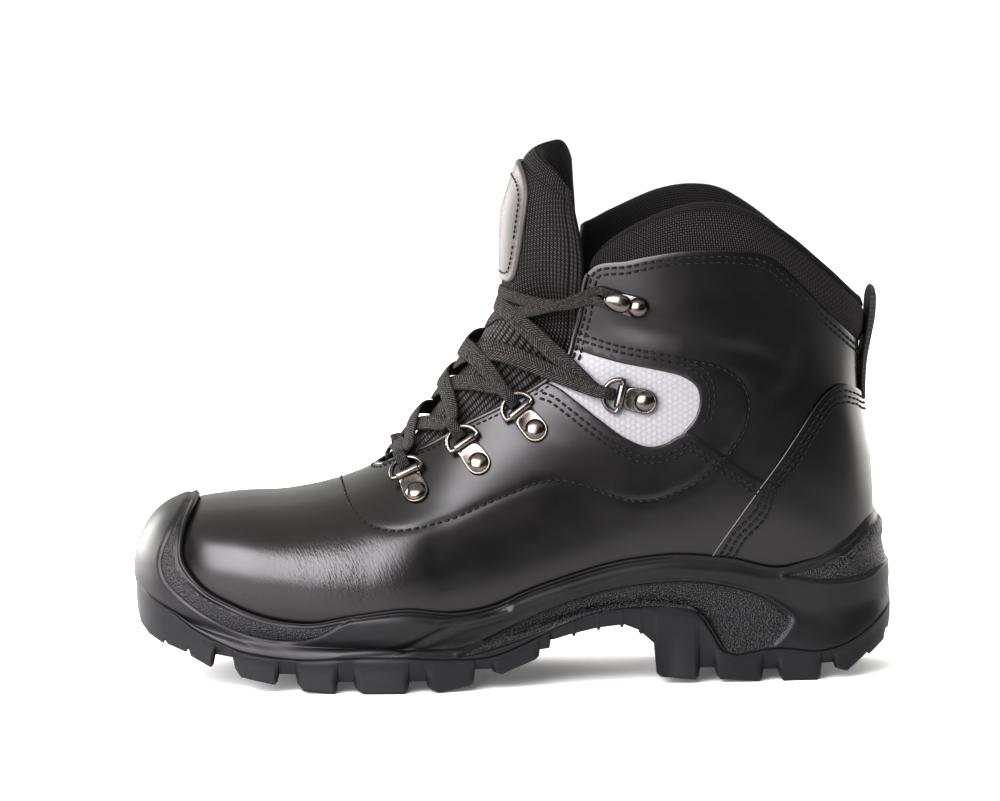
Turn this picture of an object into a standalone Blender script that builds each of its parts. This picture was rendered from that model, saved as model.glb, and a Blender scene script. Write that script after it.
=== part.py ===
"""A left ankle-high safety boot: lugged outsole, cupped midsole with toe guard, hollow leather upper,
padded collar, padded tongue, insole, heel counter, pull loop, lace hardware and laces.

The toe points to -X, the outer (lateral) side of the foot is -Y, and the sole stands on Z = 0.
Sizes are in millimetres. "Along" is measured from the front of the toe to the back of the heel.
"""

import math

import bmesh
import bpy
import numpy as np

MM = 0.001

# Driving sizes
GAP = 0.3
WALL_VAMP = 2.6
WALL_SHAFT = 4.0
INSOLE_THICK = 4.0
TONGUE_THICK = 7.5
COLLAR_THICK = 8.5
COUNTER_THICK = 1.6
TREAD_INSET = 1.6
RIM_THICK = 2.4
TOE_GUARD_THICK = 3.6

# Mesh fineness
HALF_RIBS = 36
WALL_STEPS = 3
UPPER_STEPS = 7
FASTENER_SIDES = 10
LACE_STEPS = 12

LATERAL = -1.0
MEDIAL = 1.0

# The last with its leather on: a row for each section, from the toe tip to above the collar.
# Sections stand upright along the forefoot, then fan round the heel until they lie flat in the shaft.
# Each runs from its bottom (sole or heel side) to its top (ridge of vamp and tongue) in the side view.
SECTION_COLUMNS = (
    "top_along", "top_up", "bottom_along", "bottom_up", "widest", "half_out", "half_in",
    "middle", "top_power", "bottom_power",
)
SECTIONS = {
    "toe tip": (6.0, 47.0, 6.0, 47.0, 0.50, 0.0, 0.0, 8.0, 2.3, 2.6),
    "toe front": (7.6, 56.5, 7.6, 38.5, 0.50, 14.0, 13.5, 8.0, 2.3, 2.6),
    "toe round": (12.0, 64.5, 12.0, 31.0, 0.50, 25.5, 24.0, 7.8, 2.3, 2.7),
    "toe cap": (22.0, 71.5, 22.0, 24.0, 0.49, 37.5, 34.5, 7.0, 2.3, 2.8),
    "toe cap back": (40.0, 75.5, 40.0, 18.0, 0.48, 47.0, 43.5, 5.5, 2.3, 3.0),
    "vamp": (64.0, 78.0, 64.0, 14.0, 0.46, 51.5, 48.5, 4.0, 2.2, 3.0),
    "ball": (87.0, 82.5, 88.0, 12.0, 0.42, 53.5, 50.5, 2.5, 2.1, 3.0),
    "throat": (104.0, 90.0, 112.0, 11.0, 0.40, 53.0, 48.5, 1.0, 2.0, 3.0),
    "lower instep": (117.0, 102.5, 140.0, 12.0, 0.38, 48.5, 43.5, 0.0, 2.0, 2.8),
    "instep": (131.0, 120.5, 174.0, 17.0, 0.38, 43.5, 40.0, -0.5, 2.0, 2.6),
    "upper instep": (142.0, 137.0, 214.0, 21.0, 0.42, 40.5, 39.0, 0.0, 2.0, 2.5),
    "ankle": (149.0, 149.0, 262.0, 23.0, 0.45, 39.0, 38.5, 0.0, 2.0, 2.4),
    "heel seat": (151.5, 156.0, 298.0, 36.0, 0.46, 38.5, 38.0, 0.0, 2.0, 2.4),
    "heel back": (152.0, 162.0, 304.5, 60.0, 0.46, 38.5, 38.5, 0.0, 2.0, 2.4),
    "counter top": (151.5, 169.0, 302.0, 88.0, 0.46, 39.0, 39.0, 0.0, 2.0, 2.3),
    "shaft": (151.0, 178.0, 299.0, 114.0, 0.45, 39.5, 39.5, 0.0, 2.0, 2.2),
    "shaft top": (150.5, 190.0, 298.5, 138.0, 0.45, 40.0, 40.0, 0.0, 2.0, 2.2),
    "collar": (151.5, 203.0, 300.0, 162.0, 0.45, 41.0, 41.0, 0.0, 2.0, 2.2),
    "above collar": (155.0, 219.0, 303.0, 190.0, 0.45, 41.0, 41.0, 0.0, 2.0, 2.2),
}

# Heights along the boot: columns are the place along and the height there.
FEATHER_EDGE = (
    (0, 40), (10, 36.5), (25, 30), (45, 25), (70, 21.5), (95, 21), (125, 22), (150, 26), (175, 31.5),
    (200, 35.5), (230, 37.5), (260, 38), (310, 38),
)
OUTSOLE_TOP = (
    (0, 38), (11, 33), (22, 26), (36, 20), (50, 16), (72, 13), (95, 14), (125, 15), (145, 17.5), (165, 23.5),
    (180, 28.5), (195, 30.5), (205, 27), (215, 20), (232, 14), (268, 12.5), (288, 16.5), (302, 27), (310, 34),
)
TREAD_BASE = (
    (0, 36), (11, 29), (22, 22), (37, 15.5), (60, 10.8), (84, 9.2), (113, 8.8), (140, 11), (155, 15), (167, 20),
    (180, 24.3), (192, 25.8), (200, 24.5), (206, 18), (210, 11.5), (232, 8), (256, 7), (280, 7.5), (295, 13.5),
    (305, 23.5), (310, 30),
)
GROUND_LINE = (
    (0, 34.5), (3, 31), (11, 24), (21, 17.5), (33, 11.8), (42, 8), (57, 4), (67, 1.4), (78, 0), (121, 0),
    (137, 4.2), (148, 8), (166, 17), (200, 17), (208, 0), (277, 0), (285, 2.6), (294, 8), (303, 18), (310, 26),
)

# How far the sole stands out past the feather edge, by the place along
SOLE_FLARE = ((0, 7.6), (25, 6.6), (60, 6.0), (150, 5.4), (200, 6.0), (265, 6.6), (290, 9.2), (310, 10.4))

# Ribs of the upper: where each leaves the feather edge, where it passes the midsole's rim and where it ends
# on the throat or the top edge of the leather. The first and last ribs run along the boot's middle.
RIB_COLUMNS = ("foot", "rim_along", "rim_up", "top_along", "top_up")
FRONT_RIB = {"rim_along": 26.5, "top_along": 99.0}
BACK_RIB = {"rim_up": 67.0, "top_up": 134.0, "collar_up": 151.0}
RIBS = (
    (10.0, 24.5, 70.5, 100.5, 87.5), (12.0, 22.5, 66.5, 102.0, 88.0), (16.0, 20.8, 61.0, 103.5, 88.8),
    (24.0, 20.8, 52.0, 106.0, 90.0), (34.0, 28.0, 42.5, 110.0, 92.0), (46.0, 43.0, 34.5, 115.0, 94.5),
    (68.0, 68.0, 28.8, 125.0, 100.0), (88.0, 88.0, 32.0, 136.0, 106.5), (108.0, 108.0, 34.5, 149.0, 113.0),
    (128.0, 128.0, 32.5, 160.0, 119.0), (142.0, 143.0, 34.5, 169.5, 125.5), (156.0, 157.0, 40.0, 177.5, 138.0),
    (168.0, 169.0, 44.0, 181.0, 152.0), (180.0, 181.0, 47.5, 183.5, 166.0), (200.0, 200.0, 51.5, 200.0, 171.5),
    (220.0, 220.0, 53.0, 222.0, 175.0), (240.0, 240.0, 51.0, 243.0, 175.0), (260.0, 260.0, 46.5, 258.5, 171.0),
    (274.0, 274.0, 49.5, 270.0, 160.5), (286.0, 286.5, 56.5, 281.5, 148.5), (294.0, 296.0, 63.5, 291.5, 139.5),
)

# Rim of the padded collar above the leather's top edge, by the same rib feet
COLLAR_COLUMNS = ("foot", "rim_along", "rim_up")
COLLAR_RIM = (
    (180.0, 184.5, 171.5), (190.0, 191.0, 179.0), (200.0, 200.0, 185.0), (220.0, 221.0, 193.5),
    (240.0, 239.0, 194.0), (260.0, 255.0, 187.5), (274.0, 267.0, 179.5), (286.0, 280.0, 168.5),
    (294.0, 291.0, 158.5),
)
COLLAR_START = 181.0
MEDIAL_COLLAR_RISE = 3.0

# Lower and upper edges of the heel counter in the side view, from its front corner to the back
COUNTER_COLUMNS = ("low_along", "low_up", "high_along", "high_up")
COUNTER_EDGES = (
    (236.0, 53.0, 238.0, 58.0), (250.0, 50.2, 250.0, 75.5), (262.0, 48.0, 262.0, 92.0), (274.0, 50.9, 273.5, 108.5),
    (286.5, 57.9, 280.5, 116.5), (296.0, 64.9, 288.5, 118.8),
)
COUNTER_BACK_TOP = 116.0

# Tread blocks in rows across the sole: where each row starts and ends along the boot
TREAD_ROWS = (
    (2.5, 11.0), (12.5, 21.5), (23.0, 33.5), (39.0, 59.0), (63.0, 82.0), (87.0, 111.0), (117.0, 138.0),
    (144.0, 167.5), (208.5, 230.0), (233.0, 254.0), (258.5, 277.0), (281.0, 295.0), (297.0, 305.5),
)
TREAD_SPLITS = (-1.0, -0.40, -0.28, 0.28, 0.40, 1.0)
BLOCK_DRAFT = 1.6

# Lace hardware in the side view: rivet, then the middle of the ring or hook that it holds
FASTENERS = {
    "ring_1": ((114.0, 79.5), (109.5, 89.5)),
    "ring_2": ((139.0, 91.0), (132.0, 100.5)),
    "ring_3": ((162.0, 104.0), (154.5, 113.0)),
    "ring_4": ((206.0, 115.0), (193.5, 118.0)),
    "hook": ((203.5, 153.0), (195.5, 155.5)),
}
RIVET_RADIUS = 3.8
RIVET_HEIGHT = 1.7
PLATE_THICK = 1.0
PLATE_LIFT = 0.9
PLATE_HALF_WIDTH = 5.0
RING_WIRE = 0.95
RING_HALF_WIDTH = 6.6
RING_REACH = 8.0

LACE_WIDTH = 5.6
LACE_THICK = 1.4
LACE_LIFT = {"lace_bar_low": 1.0, 1: 1.1, 2: 1.1, 3: 1.8, 4: 1.5, "lace_bar_top": 1.2}
LACE_OVER = 0.55
LACE_SLIP = 5.3

PULL_LOOP_HALF_WIDTH = 9.0
PULL_LOOP_STRAP = 1.7
# The strap of the pull loop in the side view, up its outer leaf, over the fold and down its inner leaf
PULL_LOOP_LINE = (
    (300.2, 117.5), (300.1, 126.0), (302.4, 136.0), (305.8, 147.0), (306.2, 155.0), (304.6, 161.0),
    (302.6, 160.0), (301.9, 154.5),
)


def smooth(at, knots, values):
    """A cubic through the knots, with the slope at each from its neighbours."""
    knots = np.asarray(knots, float)
    values = np.asarray(values, float)
    at = np.clip(np.asarray(at, float), knots[0], knots[-1])
    slope = np.gradient(values, knots)
    i = np.clip(np.searchsorted(knots, at) - 1, 0, len(knots) - 2)
    step = knots[i + 1] - knots[i]
    t = (at - knots[i]) / step
    bend = t * t * (3 - 2 * t)
    rise = slope[i] * t * (1 - t) ** 2 - slope[i + 1] * t * t * (1 - t)
    return values[i] + (values[i + 1] - values[i]) * bend + step * rise


def height(table, along):
    """The height that a table of (along, up) rows gives."""
    rows = np.array(table, float)
    return np.interp(along, rows[:, 0], rows[:, 1]) if table is GROUND_LINE else smooth(along, *rows.T)


def section_knots():
    """Distance along the sections, and each column with a mirrored row in front of the toe tip."""
    rows = {name: np.array(column) for name, column in zip(SECTION_COLUMNS, zip(*SECTIONS.values()))}
    top = np.stack([rows["top_along"], rows["top_up"]], 1)
    bottom = np.stack([rows["bottom_along"], rows["bottom_up"]], 1)
    steps = (np.linalg.norm(np.diff(top, axis=0), axis=1) + np.linalg.norm(np.diff(bottom, axis=0), axis=1)) / 2
    reach = np.concatenate([[0.0], np.cumsum(steps)])
    mirrored = {
        "top_along": "bottom_along", "top_up": "bottom_up", "bottom_along": "top_along", "bottom_up": "top_up",
    }
    columns = {}
    for name in SECTION_COLUMNS:
        front = rows[mirrored.get(name, name)][1]
        front = -front if name.startswith("half") else front
        columns[name] = np.concatenate([[front], rows[name]])
    return np.concatenate([[-reach[1]], reach]), columns


REACH, COLUMN = section_knots()


def form(reach, turn, side):
    """Points of the boot's outer form: turn is 0 on the ridge, pi under the sole or at the heel's back."""
    value = {name: smooth(reach, REACH, COLUMN[name]) for name in SECTION_COLUMNS}
    up = np.cos(turn)
    out = np.abs(np.sin(turn))
    power = np.where(up >= 0, value["top_power"], value["bottom_power"])
    radius = (np.abs(up) ** power + out**power) ** (-1 / power)
    span = np.where(up >= 0, 1 - value["widest"], value["widest"])
    share = value["widest"] + span * radius * up
    half = np.where(np.asarray(side) < 0, value["half_out"], value["half_in"])
    along = value["bottom_along"] + share * (value["top_along"] - value["bottom_along"])
    rise = value["bottom_up"] + share * (value["top_up"] - value["bottom_up"])
    return np.stack([along, value["middle"] + np.sign(side) * half * radius * out, rise], -1)


SEARCH_REACH, SEARCH_TURN = np.meshgrid(np.linspace(0.5, REACH[-1], 500), np.linspace(0, math.pi, 160), indexing="ij")
SEARCH_POINTS = {side: form(SEARCH_REACH, SEARCH_TURN, side) for side in (LATERAL, MEDIAL)}


def locate(along, up, side):
    """Reach and turn of the place on one side of the form that shows at (along, up) in the side view."""
    points = SEARCH_POINTS[side]
    i, j = np.unravel_index(
        np.argmin((points[..., 0] - along) ** 2 + (points[..., 2] - up) ** 2), SEARCH_REACH.shape
    )
    best = np.array([SEARCH_REACH[i, j], SEARCH_TURN[i, j]])
    nudge = np.array([0.2, 0.005])
    for _ in range(6):
        here = form(best[0], best[1], side)[[0, 2]]
        by_reach = (form(best[0] + nudge[0], best[1], side)[[0, 2]] - here) / nudge[0]
        by_turn = (form(best[0], best[1] + nudge[1], side)[[0, 2]] - here) / nudge[1]
        step = np.linalg.lstsq(np.stack([by_reach, by_turn], 1), np.array([along, up]) - here, rcond=1e-3)[0]
        best = best + np.clip(step, [-4, -0.08], [4, 0.08])
        best[1] = np.clip(best[1], 0, math.pi)
    return best


def reach_where(column, value, start):
    """The distance along the sections, past start, where a column first passes a value."""
    grid = np.linspace(start, REACH[-1], 4000)
    return grid[np.argmax(smooth(grid, REACH, COLUMN[column]) >= value)]


def feather_turn(reach, side):
    """The turn at which each section crosses the feather edge."""
    low = np.full(np.shape(reach), 0.35 * math.pi)
    high = np.full(np.shape(reach), math.pi)
    for _ in range(40):
        middle = (low + high) / 2
        point = form(reach, middle, side)
        above = point[..., 2] > height(FEATHER_EDGE, point[..., 0])
        low = np.where(above, middle, low)
        high = np.where(above, high, middle)
    return (low + high) / 2


def feather_ends():
    """Distances along the sections where the feather edge crosses the boot's middle, at the toe and the heel."""
    grid = np.linspace(0.5, REACH[-1], 4000)
    point = form(grid, math.pi, LATERAL)
    below = np.flatnonzero(point[:, 2] < height(FEATHER_EDGE, point[:, 0]))
    return grid[below[0]], grid[below[-1]]


def plane_of(reach, turn, side):
    """A flat chart of the form: polar about the toe tip, with the lateral side at negative Y."""
    return np.stack([reach * np.cos(turn), np.sign(side) * reach * np.sin(turn)], -1)


def on_form(chart):
    """Points of the form from its flat chart."""
    reach = np.maximum(np.hypot(chart[..., 0], chart[..., 1]), 1e-6)
    side = np.where(chart[..., 1] < 0, LATERAL, MEDIAL)
    return form(reach, np.arctan2(np.abs(chart[..., 1]), chart[..., 0]), side)


def half_loops(side):
    """Chart places of the feather edge, midsole rim, leather top and collar rim on one side, rib by rib."""
    start, end = feather_ends()
    share = (1 - np.cos(np.linspace(0, math.pi, HALF_RIBS + 1))) / 2
    reach = start + (end - start) * share
    turn = feather_turn(reach, side)
    turn[[0, -1]] = math.pi
    edge = form(reach, turn, side)
    foot = edge[:, 0]
    travel = np.concatenate([[0.0], np.cumsum(np.linalg.norm(np.diff(edge, axis=0), axis=1))])
    loops = {"feather": plane_of(reach, turn, side)}
    ribs = np.array(RIBS)
    collar = np.array(COLLAR_RIM)
    ends = {
        "rim": (reach_where("top_along", FRONT_RIB["rim_along"], 1), reach_where("bottom_up", BACK_RIB["rim_up"], end)),
        "top": (reach_where("top_along", FRONT_RIB["top_along"], 1), reach_where("bottom_up", BACK_RIB["top_up"], end)),
        "collar": (0.0, reach_where("bottom_up", BACK_RIB["collar_up"], end)),
    }
    rows = {"rim": ribs[:, [0, 1, 2]], "top": ribs[:, [0, 3, 4]], "collar": collar}
    for name, table in rows.items():
        found = np.array([locate(along, up, side) for _, along, up in table])
        knots = np.concatenate([[0.0], np.interp(table[:, 0], foot, travel), [travel[-1]]])
        places = np.concatenate([[(ends[name][0], 0.0)], found, [(ends[name][1], math.pi)]])
        found_turn = np.clip(smooth(travel, knots, places[:, 1]), 0, math.pi)
        loops[name] = plane_of(smooth(travel, knots, places[:, 0]), found_turn, side)
    loops["foot"] = foot
    return loops


HALVES = {LATERAL: half_loops(LATERAL), MEDIAL: half_loops(MEDIAL)}


def full_loop(name):
    """A loop right round the boot: toe to heel on the lateral side, then back on the medial side."""
    return np.concatenate([HALVES[LATERAL][name], HALVES[MEDIAL][name][-2:0:-1]])


FOOT = full_loop("foot")


def rib_grid(first, second, steps):
    """Chart places between two loops: a row for each rib."""
    t = np.linspace(0, 1, steps + 1)[None, :, None]
    return full_loop(first)[:, None] * (1 - t) + full_loop(second)[:, None] * t


def normals(grid, wrap):
    """Outward unit normals of a grid of points, rows being ribs."""
    if wrap:
        across = np.roll(grid, -1, 0) - np.roll(grid, 1, 0)
    else:
        across = np.gradient(grid, axis=0)
    upward = np.gradient(grid, axis=1)
    found = np.cross(across, upward)
    return found / np.maximum(np.linalg.norm(found, axis=-1, keepdims=True), 1e-9)


def upper_grid():
    """Outer points of the upper from the feather edge past the midsole rim to the top edge, with normals."""
    low = on_form(rib_grid("feather", "rim", WALL_STEPS))
    high = on_form(rib_grid("rim", "top", UPPER_STEPS))
    grid = np.concatenate([low, high[:, 1:]], 1)
    return grid, normals(grid, True)


UPPER, UPPER_NORMAL = upper_grid()
WALL = WALL_VAMP + (WALL_SHAFT - WALL_VAMP) * np.clip((FOOT - 130) / 50, 0, 1)[:, None, None]


def material(name, colour, roughness, metallic=0.0):
    made = bpy.data.materials.new(name)
    made.use_nodes = True
    shader = made.node_tree.nodes["Principled BSDF"]
    shader.inputs["Base Color"].default_value = (*colour, 1.0)
    shader.inputs["Roughness"].default_value = roughness
    shader.inputs["Metallic"].default_value = metallic
    return made


def make(name, points, faces, finish):
    """One closed object from points in millimetres. Doubled points are welded and normals face out."""
    mesh = bpy.data.meshes.new(name)
    placed = (np.asarray(points, float) - ORIGIN) * MM
    mesh.from_pydata(placed.tolist(), [], [tuple(int(i) for i in face) for face in faces])
    shape = bmesh.new()
    shape.from_mesh(mesh)
    bmesh.ops.remove_doubles(shape, verts=shape.verts, dist=0.001 * MM)
    bmesh.ops.dissolve_degenerate(shape, edges=shape.edges, dist=0.001 * MM)
    bmesh.ops.recalc_face_normals(shape, faces=shape.faces)
    shape.to_mesh(mesh)
    shape.free()
    mesh.shade_smooth()
    mesh.set_sharp_from_angle(angle=math.radians(40))
    made = bpy.data.objects.new(name, mesh)
    made.data.materials.append(finish)
    made.parent = BOOT
    bpy.context.scene.collection.objects.link(made)
    return made


def quads(index):
    """Faces of a grid of point numbers."""
    return np.stack([index[:-1, :-1], index[1:, :-1], index[1:, 1:], index[:-1, 1:]], -1).reshape(-1, 4)


def slab(outer, inner, wrap=False):
    """Points and faces of a sheet with thickness between two grids, its rows closed into a ring if wrap is set."""
    rows, columns = outer.shape[:2]
    index = np.arange(rows * columns).reshape(rows, columns)
    if wrap:
        index = np.concatenate([index, index[:1]])
    back = index + rows * columns
    faces = [quads(index), quads(back)[:, ::-1]]
    borders = [(index[:, 0], back[:, 0]), (back[:, -1], index[:, -1])]
    if not wrap:
        borders += [(back[0], index[0]), (index[-1], back[-1])]
    for near, far in borders:
        faces.append(np.stack([near[:-1], far[:-1], far[1:], near[1:]], -1))
    points = np.concatenate([outer.reshape(-1, 3), inner.reshape(-1, 3)])
    return points, np.concatenate(faces)


def tube_rings(path, radius, sides, closed):
    """Rings of a round wire along a path."""
    path = np.asarray(path, float)
    ahead = np.roll(path, -1, 0) - np.roll(path, 1, 0) if closed else np.gradient(path, axis=0)
    ahead /= np.linalg.norm(ahead, axis=1, keepdims=True)
    centre = path.mean(0)
    flat = np.linalg.svd(path - centre)[2][2]
    side = np.cross(ahead, flat)
    side /= np.linalg.norm(side, axis=1, keepdims=True)
    angle = np.linspace(0, 2 * math.pi, sides, endpoint=False)
    return path[:, None] + radius * (
        np.cos(angle)[None, :, None] * side[:, None] + np.sin(angle)[None, :, None] * flat
    )


def loft(rings, closed=False):
    """Points and faces of a solid through closed rings of points, capped unless the rings close on themselves."""
    count, sides = rings.shape[:2]
    index = np.arange(count * sides).reshape(count, sides)
    index = np.concatenate([index, index[:, :1]], 1)
    caps = []
    if closed:
        index = np.concatenate([index, index[:1]])
    else:
        caps = [tuple(index[0, :-1][::-1]), tuple(index[-1, :-1])]
    return rings.reshape(-1, 3), [tuple(face) for face in quads(index)] + caps


def build_upper():
    """The leather upper: one wall, open under the foot, at the throat and at the top."""
    inner = UPPER - UPPER_NORMAL * WALL
    make("upper", *slab(UPPER, inner, wrap=True), LEATHER)


def collar_grid(steps):
    """Outer points of the padded collar, front end to front end round the heel, with normals."""
    chart = rib_grid("top", "collar", steps)
    kept = np.flatnonzero(FOOT > COLLAR_START)
    grid = on_form(chart[kept])
    medial_side = np.clip((kept - HALF_RIBS) / 6, 0, 1)
    front_fade = np.clip((grid[:, -1, 0] - 184) / 30, 0, 1) * np.clip((296 - grid[:, -1, 0]) / 40, 0, 1)
    grid[..., 2] += MEDIAL_COLLAR_RISE * (medial_side * front_fade)[:, None] * np.linspace(0, 1, steps + 1)
    return grid, normals(grid, False)


def build_collar():
    """The padded textile collar that stands on the leather's top edge."""
    steps = 5
    grid, outward = collar_grid(steps)
    t = np.linspace(0, 1, steps + 1)[None, :, None]
    grid[:, 0] += 2 * GAP * (grid[:, 1] - grid[:, 0]) / np.linalg.norm(grid[:, 1] - grid[:, 0], axis=1, keepdims=True)
    puff = 1.2 * np.sin(math.pi * t) ** 0.7
    end = np.minimum(np.arange(len(grid)), np.arange(len(grid))[::-1])
    thick = COLLAR_THICK * np.clip(0.5 + end / 6, 0.5, 1)[:, None, None]
    inner_share = np.where(t > 0.95, 0.35, np.where(t < 0.05, 0.45, 1.0))
    make("collar", *slab(grid + outward * puff, grid - outward * thick * inner_share), TEXTILE)


def floor_under(points, drop):
    """The same places in plan, put on the feather edge's surface, less a drop."""
    lowered = points.copy()
    lowered[..., 2] = height(FEATHER_EDGE, points[..., 0]) - drop
    return lowered


def outline(inset):
    """The sole's plan outline, right round: the feather edge moved out by the flare, less an inset."""
    edge = UPPER[:, 0]
    outward = UPPER_NORMAL[:, 0] * [1, 1, 0]
    outward /= np.linalg.norm(outward, axis=1, keepdims=True)
    return edge + outward * (height(SOLE_FLARE, edge[:, 0]) - inset)[:, None]


def stations():
    """Places along the sole where midsole and outsole share a straight line across."""
    ends = outline(0)[:, 0]
    middle, half = (ends.max() + ends.min()) / 2, (ends.max() - ends.min()) / 2
    return middle - half * np.cos(np.linspace(0, math.pi, HALF_RIBS + 1))


def parting(along):
    """Height of the face between midsole and outsole: straight from one station to the next."""
    places = stations()
    return np.interp(along, places, height(OUTSOLE_TOP, places))


def across_stations(loop):
    """A loop right round the boot as two rows of stations, lateral and medial, toe to heel."""
    return loop[: HALF_RIBS + 1], np.concatenate([loop[:1], loop[-1 : HALF_RIBS - 1 : -1]])


def midsole_profile():
    """For each rib the midsole's points from its floor, up inside the rim and down the outside to its underside."""
    wall = UPPER[:, : WALL_STEPS + 1]
    outward = UPPER_NORMAL[:, : WALL_STEPS + 1]
    t = np.linspace(0, 1, WALL_STEPS + 1)[None, :, None]
    inside = wall + outward * GAP
    rim = RIM_THICK + (TOE_GUARD_THICK - RIM_THICK) * np.clip(1 - FOOT / 60, 0, 1)[:, None, None]
    flare = height(SOLE_FLARE, FOOT)[:, None, None]
    outside = wall + outward * (rim + (flare - 0.6 - rim) * (1 - t) ** 0.8)
    places = stations()
    lateral, medial = side_widths(0, places)
    lateral = np.stack([places, lateral, parting(places) + GAP / 2], 1)
    medial = np.stack([places, medial, parting(places) + GAP / 2], 1)
    base = np.concatenate([lateral, medial[-2:0:-1]])
    waist = base * [0.7, 0.7, 0.45] + outside[:, 0] * [0.3, 0.3, 0.55]
    floor = floor_under(inside[:, 0], GAP + 0.1)
    return np.concatenate([floor[:, None], inside, outside[:, ::-1], waist[:, None], base[:, None]], 1)


def sole_middle():
    """The point of the floor half way along and across the midsole, where the frame's origin goes."""
    points = midsole_profile()[..., :2].reshape(-1, 2)
    return np.append((points.max(0) + points.min(0)) / 2, 0.0)


def build_midsole():
    """The cup sole: floor, raised rim, toe guard and heel cup in one."""
    lateral, medial = across_stations(midsole_profile())
    rings = np.concatenate([lateral, medial[:, ::-1]], 1)
    points, faces = loft(rings)
    make("midsole", points, faces[:-2], SOLE)


def side_widths(inset, along):
    """The sole outline's lateral and medial edges at places along the boot."""
    loop = outline(inset)
    edges = []
    for half in across_stations(loop):
        order = np.argsort(half[:, 0])
        edges.append(np.interp(along, half[order, 0], half[order, 1]))
    return edges


def tread_grid(along, inset, up):
    """Points across the sole at the tread's splits, for each place along and its height."""
    lateral, medial = side_widths(inset, along)
    share = (np.array(TREAD_SPLITS) + 1) / 2
    across = lateral[:, None] + (medial - lateral)[:, None] * share
    return np.stack([along[:, None] + 0 * across, across, up[:, None] + 0 * across], -1)


def tread_marks():
    """Places along the outsole: both ends of every row of blocks, and the stations that are clear of them."""
    marks = [end for row in TREAD_ROWS for end in row]
    clear = [place for place in stations() if min(abs(place - mark) for mark in marks) > 0.4]
    return sorted(marks + clear)


def build_outsole():
    """The tread: a base under the midsole with blocks in rows, grooves between them and a bare arch."""
    marks = tread_marks()
    along = np.array(marks)
    top = tread_grid(along, 0, parting(along) - GAP / 2)
    base = tread_grid(along, 0.4, np.minimum(height(TREAD_BASE, along), parting(along) - 1.5))
    points, faces = slab(top, base)
    rows, columns = base.shape[:2]
    numbers = np.arange(rows * columns).reshape(rows, columns) + rows * columns
    points = points.tolist()
    faces = [tuple(face) for face in faces]
    for start, end in TREAD_ROWS:
        first, last = marks.index(start), marks.index(end)
        ends = np.array([start + BLOCK_DRAFT * 1.3, end - BLOCK_DRAFT])
        foot = tread_grid(ends, TREAD_INSET, height(GROUND_LINE, ends))
        for j in range(0, columns - 1, 2):
            left, right = numbers[first : last + 1, j].tolist(), numbers[first : last + 1, j + 1].tolist()
            covered = set(left + right)
            faces = [face for face in faces if not set(face) <= covered]
            foot[:, j, 1] += BLOCK_DRAFT if j > 0 else 0
            foot[:, j + 1, 1] -= BLOCK_DRAFT if j + 2 < columns else 0
            a, b, c, d = range(len(points), len(points) + 4)
            points += [foot[0, j].tolist(), foot[1, j].tolist(), foot[1, j + 1].tolist(), foot[0, j + 1].tolist()]
            faces += [(a, b, c, d), (*left, b, a), (left[0], a, d, right[0]), (*right, c, d), (left[-1], right[-1], c, b)]
    make("outsole", np.array(points), faces, RUBBER)


def build_insole():
    """The footbed inside the upper, on the midsole's floor."""
    edge = UPPER[:, 0] - UPPER_NORMAL[:, 0] * (WALL[:, 0] + 0.6)
    lateral, medial = across_stations(edge)
    share = np.linspace(0, 1, 5)[None, :, None]
    plan = lateral[:, None] * (1 - share) + medial[:, None] * share
    make("insole", *slab(floor_under(plan, -GAP - INSOLE_THICK), floor_under(plan, -GAP)), FOAM)


def build_tongue():
    """The padded tongue: under the vamp at its foot, between the eyelet edges, and up past the collar."""
    rows, columns = 14, 11
    low = reach_where("top_along", FRONT_RIB["top_along"] - 9, 1)
    high = reach_where("top_up", 214.5, 100)
    share = np.linspace(0, 1, rows)
    reach = low + (high - low) * share
    spread = np.radians(np.interp(share, [0, 0.12, 0.4, 0.8, 0.93, 1], [14, 26, 43, 47, 44, 34]))
    t = np.linspace(-1, 1, columns)
    turn = spread[:, None] * np.abs(t)
    side = np.where(t < 0, LATERAL, MEDIAL)[None, :] * np.ones((rows, 1))
    grid = form(reach[:, None] * np.ones((1, columns)), turn, side)
    outward = normals(grid, False)
    outward *= np.sign(outward[rows // 2, columns // 2] @ [-1, 0, 1])
    tuck_foot = np.clip(1 - share / 0.16, 0, 1)
    tuck_edge = np.clip((np.abs(t) - 0.42) / 0.3, 0, 1)
    sink = (WALL_SHAFT + 1.2) * np.maximum(tuck_foot[:, None], tuck_edge[None, :])
    thick = TONGUE_THICK * np.interp(share, [0, 0.3, 0.6, 0.94, 1], [0.35, 0.6, 1, 0.9, 0.4])[:, None]
    thick = thick * np.interp(np.abs(t), [0, 0.75, 1], [1, 0.85, 0.4])
    outer = grid - outward * sink[..., None]
    make("tongue", *slab(outer, outer - outward * thick[..., None]), TEXTILE)


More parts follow.
